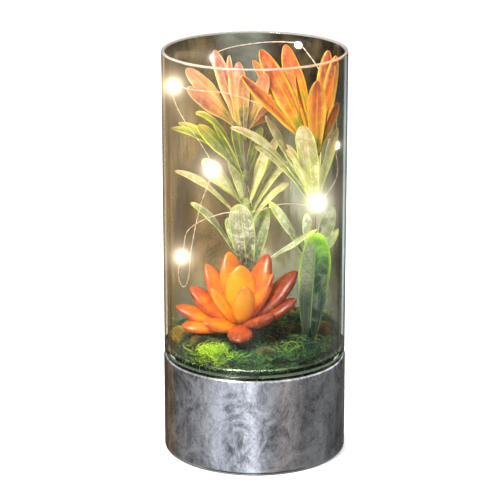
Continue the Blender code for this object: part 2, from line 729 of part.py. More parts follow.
def make_dark_leaf(parts):
    """The broad dark leaf with its round stalk."""
    stalk = rod(
        "leaf_dark", DARK_LEAF_FOOT, DARK_LEAF_NECK + UP * (4.0 * MM), STEM_RADIUS, 10, parts,
        finish_material("leaf_dark", COLOURS["dark_leaf"], 0.4),
    )
    blades = bpy.data.collections.new("dark_blade")
    bpy.context.scene.collection.children.link(blades)
    front = Vector((0.0, -1.0, 0.0))
    leaf("blade", DARK_LEAF_NECK, DARK_LEAF_TIP, front, DARK_LEAF_WIDTH, 0.0, DARK_LEAF_TWIST, blades)
    fused(stalk, blades)


def petal(name, root, tip, width, thick, bow, collection):
    """A fleshy blunt petal along a bowed line; its inner face leans to the front."""
    outward = Vector((tip.x - root.x, tip.y - root.y, 0.0)).normalized()
    lean = math.radians(ROSETTE_LEAN)
    across = Vector((-outward.y, outward.x * math.cos(lean), outward.x * math.sin(lean)))
    shape = bmesh.new()
    rings = []
    for part in PETAL_STATIONS:
        point, direction = bowed_line(root, tip, -bow, part)
        face = across.cross(direction).normalized()
        half = 0.5 * width * petal_share(part)
        deep = 0.5 * thick * min(1.0, petal_share(part) + 0.15)
        ring = []
        for index in range(PETAL_SIDES):
            angle = 2.0 * math.pi * index / PETAL_SIDES
            spot = point + across * (half * math.cos(angle)) + face * (deep * math.sin(angle))
            ring.append(shape.verts.new(spot))
        rings.append(ring)
    for first, second in zip(rings, rings[1:]):
        for index in range(PETAL_SIDES):
            after = (index + 1) % PETAL_SIDES
            shape.faces.new((first[index], first[after], second[after], second[index]))
    shape.faces.new(rings[0][::-1])
    shape.faces.new(rings[-1])
    bmesh.ops.recalc_face_normals(shape, faces=shape.faces)
    bmesh.ops.triangulate(shape, faces=shape.faces)
    mesh = bpy.data.meshes.new(name)
    shape.to_mesh(mesh)
    shape.free()
    return new_object(name, mesh, collection)


def make_succulent(parts):
    """The rosette: a core that stands in the moss, and its petals in layers."""
    foot = Vector((CORE_TOP.x, CORE_TOP.y, CORE_FOOT_Z))
    core = rod("succulent", foot, CORE_TOP + UP * (2.0 * MM), CORE_RADIUS, HUB_SIDES, parts,
               finish_material("succulent", COLOURS["orange"], 0.3))
    petals = bpy.data.collections.new("petals")
    bpy.context.scene.collection.children.link(petals)
    for bearing, out, rise, width, thick, bow in PETALS:
        angle = math.radians(bearing)
        away = Vector((math.cos(angle), math.sin(angle), 0.0))
        root = CORE_TOP + away * (1.5 * MM)
        tip = CORE_TOP + away * (out * MM) + UP * (rise * MM)
        petal("petal", root, tip, width * MM, thick * MM, bow, petals)
    fused(core, petals)


def route_keys():
    """The wire's key points, with a straight stretch through each bead."""
    keys = []
    beads = []
    spots = [Vector(place) * MM for place, bead in WIRE_ROUTE]
    reach = BEAD_LENGTH / 2.0 + 0.7 * MM
    for index, (place, bead) in enumerate(WIRE_ROUTE):
        if not bead:
            keys.append(spots[index])
            continue
        direction = (spots[index + 1] - spots[index - 1]).normalized()
        keys.append(spots[index] - direction * reach)
        keys.append(spots[index] + direction * reach)
        beads.append((spots[index], direction))
    return keys, beads


def smooth_route(keys):
    """Points of a smooth curve through the keys, none inside a bead."""
    ends = [keys[0] * 2.0 - keys[1]] + keys + [keys[-1] * 2.0 - keys[-2]]
    points = [keys[0]]
    for index in range(1, len(ends) - 2):
        before, start, end, after = ends[index - 1:index + 3]
        length = (end - start).length
        pieces = max(1, round(length / WIRE_STEP))
        lead_in = (end - before).normalized() * length
        lead_out = (after - start).normalized() * length
        for step in range(1, pieces + 1):
            t = step / pieces
            point = start * (2.0 * t ** 3 - 3.0 * t ** 2 + 1.0)
            point += lead_in * (t ** 3 - 2.0 * t ** 2 + t)
            point += end * (3.0 * t ** 2 - 2.0 * t ** 3)
            point += lead_out * (t ** 3 - t ** 2)
            points.append(point)
    return points


def make_light_string(parts):
    """The formed wire as one tube, and a bored bead at each marked point."""
    keys, beads = route_keys()
    points = smooth_route(keys)
    curve = bpy.data.curves.new("led_wire", "CURVE")
    curve.dimensions = "3D"
    curve.bevel_depth = WIRE_RADIUS
    curve.bevel_resolution = 2
    curve.use_fill_caps = True
    line = curve.splines.new("POLY")
    line.points.add(len(points) - 1)
    for spot, point in zip(line.points, points):
        spot.co = (*point, 1.0)
    wire = bpy.data.objects.new("led_wire", curve)
    curve.materials.append(finish_material("led_wire", COLOURS["copper"], 0.3, 1.0))
    parts.objects.link(wire)
    half = BEAD_LENGTH / 2.0
    shoulder = 0.55 * BEAD_RADIUS
    profile = [
        (BEAD_BORE, half),
        (shoulder + 0.2 * MM, half - 0.3 * MM),
        (BEAD_RADIUS, 0.4 * half),
        (BEAD_RADIUS, -0.4 * half),
        (shoulder + 0.2 * MM, -half + 0.3 * MM),
        (BEAD_BORE, -half),
    ]
    for index, (place, direction) in enumerate(beads):
        name = "led_bead_%d" % (index + 1)
        bead = turned(name, profile, True, BEAD_SIDES, parts, finish_material(name, COLOURS["bead"], 0.2))
        bead.rotation_mode = "QUATERNION"
        bead.rotation_quaternion = UP.rotation_difference(direction)
        bead.location = place


def main():
    """Build every piece."""
    parts, cutters = start_clean()
    make_mirror_base(parts)
    make_glass(parts)
    make_plate(parts, cutters)
    make_battery_box(parts, cutters)
    make_door(parts)
    make_cells(parts)
    make_switch(parts, cutters)
    make_moss_bed(parts, cutters)
    make_clumps(parts)
    make_stems(parts)
    for name, stem, height, below, leaves, caps_stem in WHORLS:
        make_whorl(name, stem, height, below, leaves, caps_stem, parts, cutters)
    make_dark_leaf(parts)
    make_succulent(parts)
    make_light_string(parts)


main()
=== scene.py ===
"""Looks of the lit terrarium: fine glass, plants, moss, light string, lights and camera.

The tables hold millimetres and degrees, and MM turns them into metres.
"""
import math

import bpy
import numpy as np
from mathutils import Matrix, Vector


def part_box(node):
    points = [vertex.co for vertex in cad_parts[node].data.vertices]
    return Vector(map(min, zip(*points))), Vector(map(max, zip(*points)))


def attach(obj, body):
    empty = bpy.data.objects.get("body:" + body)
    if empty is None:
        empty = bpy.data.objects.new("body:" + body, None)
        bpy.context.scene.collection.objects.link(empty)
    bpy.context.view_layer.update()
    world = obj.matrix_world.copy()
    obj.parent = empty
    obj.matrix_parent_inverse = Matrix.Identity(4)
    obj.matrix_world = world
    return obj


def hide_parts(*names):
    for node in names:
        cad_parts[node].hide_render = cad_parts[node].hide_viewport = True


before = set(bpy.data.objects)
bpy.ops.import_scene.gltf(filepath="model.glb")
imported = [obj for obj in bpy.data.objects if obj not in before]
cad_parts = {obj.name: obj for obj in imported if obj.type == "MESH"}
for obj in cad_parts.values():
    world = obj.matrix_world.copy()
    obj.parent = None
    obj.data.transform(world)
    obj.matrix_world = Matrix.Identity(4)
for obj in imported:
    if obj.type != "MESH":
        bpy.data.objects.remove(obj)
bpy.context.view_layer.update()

MM = 0.001
UP = np.array((0.0, 0.0, 1.0))
BODY = "terrarium"
RANDOM = np.random.default_rng(11)
NO_TRIS = np.empty((0, 3), int)

# Camera: its place, its downward tilt and its lens on a 36 mm sensor
CAMERA_PLACE = (-0.0025, -1.171, 0.4691)
CAMERA_TILT = 16.95
CAMERA_LENS = 161.8
CAMERA_SENSOR = 36.0

# Lamps: place, aim, size, power and tone; only the window is seen in mirrors
LAMPS = {
    "key": ((-0.7, -0.6, 1.1), (0.0, 0.0, 0.12), 0.4, 17.0, (1.0, 0.97, 0.93)),
    "fill": ((0.9, -0.8, 0.7), (0.0, 0.0, 0.12), 0.6, 8.0, (0.95, 0.97, 1.0)),
    "top": ((0.0, 0.1, 1.2), (0.0, 0.0, 0.1), 0.4, 12.0, (1.0, 0.99, 0.96)),
    "window": ((-0.32, -0.40, 0.70), (0.0, 0.0, 0.09), 0.30, 12.0, (1.0, 0.97, 0.92)),
}

# Halo round the lit beads: from what brightness, then kind, strength and size of each glare
GLOW_FROM = 4.0
GLOWS = (("BLOOM", 0.85, 0.45), ("FOG_GLOW", 0.45, 0.3))

# Floor in metres: its width, its front, the bend up into the backdrop and the top
STAGE_WIDTH = 6.0
STAGE_FRONT = -4.0
STAGE_BEND = 1.2
STAGE_TOP = 4.0

# What mirrors show of the studio, by bearing as a share of a full turn
STUDIO_PANELS = (
    (0.0, (0.10, 0.09, 0.08)), (0.09, (0.12, 0.09, 0.07)), (0.14, (0.26, 0.19, 0.12)),
    (0.17, (0.20, 0.19, 0.19)), (0.24, (0.25, 0.25, 0.26)), (0.29, (0.31, 0.31, 0.33)),
    (0.32, (0.38, 0.39, 0.42)), (0.345, (0.52, 0.54, 0.58)), (0.372, (0.64, 0.68, 0.78)),
    (0.40, (0.44, 0.47, 0.53)), (0.43, (0.62, 0.66, 0.74)), (0.46, (0.88, 0.93, 1.02)),
    (0.485, (0.92, 0.98, 1.08)), (0.51, (0.86, 0.90, 1.00)), (0.535, (0.40, 0.42, 0.47)),
    (0.565, (0.34, 0.33, 0.34)), (0.595, (0.38, 0.34, 0.34)), (0.64, (0.31, 0.30, 0.30)),
    (0.675, (0.18, 0.18, 0.18)), (0.80, (0.15, 0.155, 0.16)), (0.845, (0.11, 0.115, 0.12)),
    (1.0, (0.10, 0.09, 0.08)),
)

# Glass cylinder and mirrored base; heights and radii come from the frame
GLASS_LOW, GLASS_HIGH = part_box("glass_cylinder")
BASE_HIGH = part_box("mirror_base")[1]
GLASS_RADIUS = GLASS_HIGH.x
GLASS_BOTTOM = GLASS_LOW.z
GLASS_TOP = GLASS_HIGH.z
GLASS_WALL = 2.0 * MM
GLASS_FLOOR = 3.0 * MM
GLASS_OUTER_ROUND = 3.0 * MM
GLASS_INNER_ROUND = 3.5 * MM
INNER_RADIUS = GLASS_RADIUS - GLASS_WALL
FLOOR_Z = GLASS_BOTTOM + GLASS_FLOOR
HEEL_TOP = FLOOR_Z + 0.7 * GLASS_INNER_ROUND
WIRE_HOLE_RADIUS = 2.5 * MM
BASE_RADIUS = BASE_HIGH.x
BASE_TOP_Z = BASE_HIGH.z
BASE_WALL = 2.6 * MM
BASE_DECK = 3.0 * MM
BASE_ROUND = 1.6 * MM
ROUND_STEPS = 144
SHARP_ANGLE = math.radians(50.0)
HAZE_TONE = (1.0, 0.80, 0.48)

# Battery cell: how far its copper band and its bare ends start from its middle
CELL_BAND = 16.5 * MM
CELL_END = 23.6 * MM

# Moss bed: its form, and how many fibres and strands it has
MOSS_TOP = 67.0 * MM
MOSS_EDGE_DROP = 3.0 * MM
MOSS_WAVE = 1.1 * MM
MOSS_WAVE_LENGTH = np.array((9.0, 8.0)) * MM
MOSS_RADIUS = INNER_RADIUS - 1.4 * MM
MOSS_LIMIT = INNER_RADIUS - 0.3 * MM
MOSS_ROWS = 45
MOSS_AROUND = 150
COVER_FIBRES = 10500
COVER_LENGTHS = (2.2, 6.5)
COVER_WIDTHS = (0.28, 0.75)
COVER_DROOP = 0.3
SKIRT_FIBRES = 2200
SKIRT_LOW = FLOOR_Z + 1.2 * MM
ROOT_DEPTH = 0.8 * MM
FIBRE_BEND = 0.45
CLUMP_FIBRES = 1500
CLUMP_LENGTHS = (1.2, 3.4)
CLUMP_WIDTHS = (0.22, 0.5)
CLUMP_DROOP = 0.1
CLUMP_ROOTS = 0.85
CURLED_STRANDS = 430
CURL_REACH = 42.0 * MM
CURL_LENGTHS = (8.0, 24.0)
CURL_WIDTHS = (0.35, 0.75)
CURL_TURNS = (1.5, 7.0)
CURL_LIFTS = (0.6, 3.4)
CURL_ROWS = 13
FIBRE_QUADS = ((0, 1, 4, 3), (1, 2, 5, 4), (2, 0, 3, 5))
FIBRE_TRIS = ((3, 4, 6), (4, 5, 6), (5, 3, 6), (0, 2, 1))
FIBRE_ALONG = (0.0, 0.0, 0.0, 0.5, 0.5, 0.5, 1.0)

# Stems, the hubs of the whorls and the form of a leaf; what isn't in millimetres is a share
# of the leaf's width or length, a power or a number of waves or veins
STEM_RADIUS = 1.3 * MM
STEMS = {
    "left": (np.array((-2.5, 7.0, 61.0)) * MM, np.array((-6.0, 6.0, 178.0)) * MM),
    "right": (np.array((31.0, 4.0, 61.0)) * MM, np.array((33.0, 2.0, 167.0)) * MM),
}
STEM_KNOTS = 11.0
HUB_RADIUS = 2.7 * MM
HUB_ABOVE = 3.0 * MM
LEAF_ROOT = STEM_RADIUS + 0.55 * MM
LEAF_THICK = 0.55 * MM
LEAF_FOLD = 0.22
LEAF_FOLD_POWER = 1.2
LEAF_SWELL = 0.92
LEAF_TWIST_RUN = 1.6
LEAF_THINNED = 0.85
LEAF_ROOT_SHARE = 0.42
LEAF_TIP_SHARE = 0.04
LEAF_EDGE_WAVES = 2.6
LEAF_EDGE_WAVE = 0.045
LEAF_EDGE_SHIFT = 1.9
LEAF_GROOVE = 0.16 * MM
LEAF_GROOVE_WIDTH = 0.13
LEAF_VEINS = 6.0
LEAF_VEIN_SLANT = 1.3
LEAF_VEIN_DEPTH = 0.10 * MM
BROAD_WIDTH = 11.0 * MM
# Rows along a leaf, points across it, how far its widest place leans to the tip,
# and a power that is smaller for a fuller outline
BROAD_FORM = (46, 17, 2.1, 0.38)
NARROW_FORM = (34, 11, 1.7, 0.5)

# Leaves of each whorl: bearing in degrees (0 right, 90 back, 180 left, 270 front),
# then how far out and up the tip lies from the hub, the width and the root's level
# on the hub, then the bow (a share of the length) and the twist in degrees.
WHORL_LEFT_1 = (
    (174, 31, 33, 9.0, 0, 0.10, 55), (201, 32, 26, 8.5, 0, 0.06, 55), (150, 18, 42, 7.5, 0, 0.04, 40),
    (215, 9, 42, 9.0, 0, 0.03, 10), (270, 16, 34, 6.0, 0, 0.10, 0), (20, 13, 30, 9.0, 0, 0.08, -40),
    (52, 23, 3, 5.0, 0, 0.16, -30), (50, 28, 15, 6.0, 0, 0.10, -40), (100, 16, 34, 7.0, 0, 0.08, 0),
)
WHORL_LEFT_2 = (
    (194, 26, 29, 8.0, 0, 0.14, 60), (187, 40, 27, 4.8, 0, 0.30, 40), (168, 37, 27, 4.5, 0, 0.26, 40),
    (213, 31, 38, 5.6, 0, 0.42, 40), (172, 18, 32, 4.8, 0, 0.10, 40), (62, 20, 22, 5.0, 0, 0.20, -30),
    (105, 22, 24, 6.0, 0, 0.12, 0),
)
WHORL_LEFT_3 = (
    (189, 24, 25, 9.5, 0, 0.18, 50), (191, 39, 20, 4.8, -12, 0.26, 40), (44, 26, 34, 5.2, 0, 0.14, -40),
    (20, 25, 9, 6.5, -12, 0.32, -20), (28, 26, 20, 5.2, -8, 0.26, -30), (24, 13, 31, 6.0, 0, 0.06, -40),
    (110, 24, 20, 7.0, 0, 0.22, 0), (150, 26, 14, 6.0, 0, 0.14, 20),
)
WHORL_LEFT_4 = (
    (258, 21, 45, 13.5, 0, 0.10, 0), (200, 33, 43, 5.4, 0, 0.30, 45), (30, 12, 36, 7.6, 0, 0.06, -50),
    (335, 41, 30, 7.5, 0, 0.08, -20), (122, 22, 26, 7.0, 0, 0.20, 0), (80, 18, 30, 6.0, 0, 0.10, 0),
)
WHORL_RIGHT_1 = (
    (155, 33, 53, 10.0, 0, 0.03, 55), (151, 39, 46, 6.5, 0, 0.08, 50), (126, 28, 54, 10.5, 0, 0.03, 20),
    (68, 18, 52, 8.0, 0, 0.08, -30), (36, 13, 51, 7.0, 0, 0.04, -50), (322, 12, 49, 8.4, 0, 0.04, -40),
    (202, 43, 45, 8.0, 0, 0.06, 55), (270, 17, 43, 9.5, 0, 0.08, 0), (345, 12, 28, 5.2, 0, 0.05, -60),
    (54, 13, 25, 5.2, 0, 0.08, -30), (208, 13, 43, 10.0, 0, 0.05, 30),
)
WHORL_RIGHT_2 = (
    (207, 30, 50, 7.2, 0, 0.10, 50), (253, 21, 46, 12.0, 0, 0.10, 10), (235, 26, 33, 8.0, 0, 0.22, 20),
    (199, 48, 44, 5.6, 0, 0.28, 45), (203, 35, 33, 5.2, -4, 0.24, 45), (2, 12, 40, 4.8, 0, 0.08, -60),
    (305, 13, 37, 6.0, 0, 0.08, -30), (90, 20, 34, 7.0, 0, 0.10, 0), (128, 24, 26, 6.0, 0, 0.12, 10),
)
WHORL_RIGHT_3 = (
    (183, 24, 36, 6.0, 0, 0.16, 50), (32, 13, 31, 8.0, 0, 0.06, -50), (350, 14, 21, 5.2, 0, 0.06, -50),
    (100, 18, 24, 6.0, 0, 0.12, 0),
)
# Each whorl: its node, its stem, the height of its hub, the hub's length below
# that height, its leaves, its record slot and its look
WHORLS = (
    ("whorl_left_1", "left", 178.0, 6.0, WHORL_LEFT_1, "orange_leaf", "rosy"),
    ("whorl_left_2", "left", 153.0, 6.0, WHORL_LEFT_2, "green_leaf", "green"),
    ("whorl_left_3", "left", 137.0, 15.0, WHORL_LEFT_3, "pale_leaf", "pale"),
    ("whorl_left_4", "left", 97.0, 6.0, WHORL_LEFT_4, "pale_leaf", "frosted"),
    ("whorl_right_1", "right", 167.0, 6.0, WHORL_RIGHT_1, "orange_leaf", "orange"),
    ("whorl_right_2", "right", 140.0, 8.0, WHORL_RIGHT_2, "pale_leaf", "pale"),
    ("whorl_right_3", "right", 103.0, 6.0, WHORL_RIGHT_3, "pale_leaf", "frosted"),
)
# Leaf looks: tones along the blade, then of its margin, lines and frosting, then how dark the painted
# shade on the half turned from the light is, how strong the frosting, what is left of it in the lines,
# and the veins
LEAF_LOOKS = {
    "orange": {
        "along": (
            (0.0, (0.05, 0.09, 0.01)), (0.16, (0.14, 0.22, 0.015)), (0.30, (0.46, 0.44, 0.02)),
            (0.42, (0.82, 0.40, 0.02)), (0.60, (0.82, 0.22, 0.015)), (0.84, (0.60, 0.12, 0.025)),
            (1.0, (0.40, 0.045, 0.025)),
        ),
        "margin": (0.95, 0.58, 0.04), "line": (0.22, 0.035, 0.015), "frost": (0.86, 0.44, 0.20),
        "deep": 0.45, "frosting": 0.28, "between": 0.35, "veins": 0.0,
    },
    "rosy": {
        "along": (
            (0.0, (0.07, 0.10, 0.012)), (0.18, (0.26, 0.28, 0.02)), (0.36, (0.62, 0.34, 0.04)),
            (0.60, (0.56, 0.18, 0.06)), (1.0, (0.42, 0.11, 0.07)),
        ),
        "margin": (0.90, 0.62, 0.26), "line": (0.24, 0.07, 0.04), "frost": (0.80, 0.44, 0.36),
        "deep": 0.4, "frosting": 0.46, "between": 0.35, "veins": 0.0,
    },
    "green": {
        "along": (
            (0.0, (0.04, 0.06, 0.012)), (0.25, (0.11, 0.15, 0.015)), (0.60, (0.24, 0.29, 0.02)),
            (0.84, (0.42, 0.42, 0.06)), (1.0, (0.58, 0.32, 0.06)),
        ),
        "margin": (0.70, 0.86, 0.03), "line": (0.07, 0.10, 0.03), "frost": (0.42, 0.48, 0.18),
        "deep": 0.6, "frosting": 0.45, "between": 0.35, "veins": 0.0,
    },
    "pale": {
        "along": (
            (0.0, (0.30, 0.38, 0.03)), (0.25, (0.44, 0.47, 0.12)), (0.60, (0.44, 0.41, 0.16)),
            (0.85, (0.50, 0.38, 0.17)), (1.0, (0.54, 0.32, 0.15)),
        ),
        "margin": (0.66, 0.78, 0.16), "line": (0.30, 0.34, 0.16), "frost": (0.82, 0.80, 0.68),
        "deep": 0.4, "frosting": 0.55, "between": 0.35, "veins": 0.10,
    },
    "frosted": {
        "along": (
            (0.0, (0.07, 0.10, 0.05)), (0.30, (0.20, 0.25, 0.13)), (0.70, (0.38, 0.43, 0.23)),
            (0.90, (0.50, 0.57, 0.17)), (1.0, (0.62, 0.72, 0.08)),
        ),
        "margin": (0.56, 0.78, 0.10), "line": (0.10, 0.16, 0.07), "frost": (0.84, 0.87, 0.80),
        "deep": 0.5, "frosting": 0.72, "between": 0.30, "veins": 0.22,
    },
}

# Dark leaf at the right front
DARK_LEAF_FOOT = np.array((29.5, -19.0, 61.0)) * MM
DARK_LEAF_NECK = np.array((29.8, -19.0, 70.0)) * MM
DARK_LEAF_TIP = np.array((33.0, -17.0, 127.0)) * MM
DARK_LEAF_WIDTH = 16.5 * MM
DARK_LEAF_TWIST = -15.0
DARK_LEAF_PHASE = 0.7
DARK_LEAF_TONES = (
    (0.0, (0.008, 0.022, 0.016)), (0.40, (0.012, 0.038, 0.030)), (0.66, (0.020, 0.070, 0.034)),
    (0.80, (0.040, 0.150, 0.022)), (0.90, (0.16, 0.42, 0.02)), (1.0, (0.46, 0.76, 0.04)),
)

# Rosette: bearing, out, up, width, thickness and bow of each petal, then its warmth
# (0 yellow, 0.5 orange, 1 brown red), whose brown red on the right-hand petals is partly
# their own colour and partly painted shade; the whole rosette leans to the front
CORE_TOP = np.array((-7.0, -16.0, 75.0)) * MM
CORE_RADIUS = 5.0 * MM
CORE_FOOT_Z = 63.0 * MM
ROSETTE_LEAN = math.radians(20.0)
PETAL_ROOT = 1.5 * MM
PETAL_ROOT_SHARE = 0.5
PETAL_WIDEST = 0.58
PETAL_TIP_SHARE = 0.04
PETAL_AROUND = 24
PETALS = (
    (174, 36, 9, 12.0, 6.0, 0.06, 0.40), (186, 33, 0, 12.0, 5.8, 0.02, 0.38),
    (212, 24, 5, 12.5, 5.8, 0.08, 0.34), (267, 26, -1, 14.0, 5.8, 0.00, 0.78),
    (314, 24, 10, 12.5, 6.2, 0.05, 0.80), (354, 30, 15, 12.5, 6.2, 0.06, 0.95),
    (32, 28, 14, 11.0, 5.4, 0.05, 0.95), (66, 18, 17, 10.0, 5.4, 0.05, 0.75),
    (108, 24, 15, 11.0, 5.4, 0.05, 0.60), (142, 28, 13, 12.0, 5.6, 0.05, 0.60),
    (168, 29, 19, 14.5, 7.0, 0.06, 0.52), (154, 22, 31, 15.0, 7.4, 0.05, 0.46),
    (120, 15, 37, 15.5, 7.0, 0.04, 0.34), (40, 19, 36, 15.0, 7.4, 0.04, 0.56),
    (12, 31, 28, 16.0, 7.2, 0.05, 0.92), (200, 17, 22, 11.5, 6.0, 0.08, 0.12),
    (280, 11, 25, 12.5, 6.6, 0.08, 0.14), (6, 17, 28, 11.5, 6.2, 0.06, 0.42),
    (97, 5, 32, 17.0, 6.0, 0.03, 0.02), (76, 12, 27, 12.0, 5.4, 0.04, 0.25),
)
PETAL_TONES = (
    (0.0, (0.80, 0.42, 0.006)), (0.22, (0.78, 0.29, 0.006)), (0.45, (0.78, 0.20, 0.012)),
    (0.68, (0.60, 0.105, 0.018)), (0.90, (0.34, 0.048, 0.014)), (1.0, (0.22, 0.028, 0.010)),
)

# Mounds of the moss bed: centre, height and spread
MOUNDS = (
    (np.array((33.0, 12.0)) * MM, 4.5 * MM, 14.0 * MM),
    (CORE_TOP[:2], 3.0 * MM, 13.0 * MM),
)

# Clumps of moss in other colours: node, place, half sizes, record slot and look
CLUMPS = (
    ("moss_clump_lime", (-21.0, -31.0, 65.0), (9.0, 7.0, 3.2), "lime_moss", "lime"),
    ("moss_clump_yellow", (-41.0, -10.0, 66.0), (4.2, 8.0, 3.6), "yellow_moss", "yellow"),
    ("moss_clump_rust_1", (-29.0, -22.0, 67.0), (4.6, 4.0, 3.0), "rust_moss", "rust"),
    ("moss_clump_rust_2", (6.0, -37.0, 64.5), (5.0, 4.0, 3.0), "rust_moss", "rust"),
    ("moss_clump_rust_3", (38.0, -8.0, 69.0), (4.6, 5.0, 3.2), "rust_moss", "rust"),
)
MOSS_TONES = {
    "bed": (
        (0.18, (0.003, 0.009, 0.007)), (0.36, (0.005, 0.045, 0.034)), (0.50, (0.014, 0.090, 0.028)),
        (0.62, (0.050, 0.150, 0.020)), (0.74, (0.150, 0.230, 0.030)), (0.86, (0.240, 0.170, 0.050)),
        (1.0, (0.420, 0.220, 0.070)),
    ),
    "lime": ((0.20, (0.03, 0.16, 0.01)), (0.45, (0.26, 0.56, 0.02)), (0.70, (0.78, 0.96, 0.04))),
    "yellow": ((0.20, (0.08, 0.12, 0.01)), (0.45, (0.45, 0.34, 0.03)), (0.75, (0.85, 0.62, 0.06))),
    "rust": ((0.24, (0.02, 0.05, 0.015)), (0.52, (0.20, 0.13, 0.025)), (0.85, (0.62, 0.31, 0.06))),
}

# Light string: two twisted strands, and beads that are drops of resin
WIRE_STRAND = 0.28 * MM
WIRE_APART = 0.24 * MM
WIRE_PITCH = 9.0 * MM
WIRE_STEP = 1.3 * MM
BEAD_RADIUS = 2.0 * MM
BEAD_LENGTH = 5.0 * MM
BEAD_LEAD = 0.7 * MM
# Points of the wire's route; a fourth value marks a bead and says how bright it looks,
# for the chips in the beads face different ways
WIRE_ROUTE = (
    (0, 0, 22.4), (0, 0, 40), (0, 0, 57), (0, 0, 70), (3, 6, 82), (3, 24, 104), (-4, 36, 140),
    (-14, 36, 190), (-22, 33, 212, 0.6), (0, 42, 218), (24, 37, 218, 0.04), (39, 24, 200), (44, 12, 184),
    (44, 8, 169, 0.5), (44, -8, 156), (33, -22, 145, 1.2), (15, -31, 147), (0, -31, 143), (-18, -29, 141),
    (-35, -24, 131), (-39, -20, 115, 1.0), (-41, -19, 105), (-38.5, -22.5, 98.5), (-35.5, -24.5, 104),
    (-34, -24, 119), (-29, -17, 142), (-23, -15, 162, 0.8), (-29, -21, 178), (-39, -20, 193),
    (-43, -10, 206, 1.6), (-36, -21, 207), (-14, -24, 205), (3, -23, 199),
)

# CAD nodes that stay as they are, by record slot
INNER_PARTS = {
    "black_plastic": ("base_plate", "battery_door"),
    "grey_plastic": ("battery_box", "switch_housing"),
    "slider_plastic": ("switch_slider",),
    "contact_metal": ("contact_strip_1", "contact_strip_2"),
    "cell_jacket": ("battery_cell_1", "battery_cell_2", "battery_cell_3"),
}


def connect(socket, value):
    """Link a value to a socket, or set a plain number, vector or colour on it."""
    if isinstance(value, Value):
        socket.id_data.links.new(value.socket, socket)
    elif socket.type == "RGBA":
        socket.default_value = (*value, 1.0)
    else:
        socket.default_value = value


def node(tree, kind, sockets=None, output=0, **settings):
    """Add a node with its sockets and settings, and give one of its outputs as a value."""
    made = tree.nodes.new(kind)
    for key, setting in settings.items():
        setattr(made, key, setting)
    for key, value in (sockets or {}).items():
        connect(made.inputs[key], value)
    return Value(made.outputs[output])


class Value:
    """A number, colour or shader that a node gives; what is done with it adds further nodes."""

    def __init__(self, socket):
        self.socket = socket
        self.tree = socket.id_data

    def maths(self, operation, other=0.0):
        """This and another number in a Math node."""
        return node(self.tree, "ShaderNodeMath", {0: self, 1: other}, operation=operation)

    def __add__(self, other):
        return self.maths("ADD", other)

    def __sub__(self, other):
        return self.maths("SUBTRACT", other)

    def __mul__(self, other):
        return self.maths("MULTIPLY", other)

    def __abs__(self):
        return self.maths("ABSOLUTE")

    def larger(self, other):
        """The larger of this and another number."""
        return self.maths("MAXIMUM", other)

    def spread(self, low, high, to_low=0.0, to_high=1.0):
        """Eased from one number to another while this one goes from low to high."""
        sockets = {0: self, 1: low, 2: high, 3: to_low, 4: to_high}
        return node(self.tree, "ShaderNodeMapRange", sockets, interpolation_type="SMOOTHSTEP")

    def ramp(self, stops):
        """Colour for this number on a ramp with (place, colour) stops."""
        made = node(self.tree, "ShaderNodeValToRGB", {0: self})
        points = made.socket.node.color_ramp.elements
        for point, (spot, tone) in ((points[1], stops[-1]), (points[0], stops[0])):
            point.position = spot
            point.color = (*tone, 1.0)
        for spot, tone in stops[1:-1]:
            points.new(spot).color = (*tone, 1.0)
        return made

    def grey(self):
        """Grey of this level."""
        return node(self.tree, "ShaderNodeCombineColor", {0: self, 1: self, 2: self})

    def between(self, first, second):
        """Colour from the first to the second, this number being the share of the second."""
        return node(self.tree, "ShaderNodeMix", {0: self, 6: first, 7: second}, 2, data_type="RGBA")

    def mixed(self, share, tone, way="MIX"):
        """This colour with a share of another."""
        sockets = {0: share, 6: self, 7: tone}
        return node(self.tree, "ShaderNodeMix", sockets, 2, data_type="RGBA", blend_type=way)

    def choose(self, first, second):
        """Mix of two shaders, this number being the share of the second."""
        return node(self.tree, "ShaderNodeMixShader", {0: self, 1: first, 2: second})


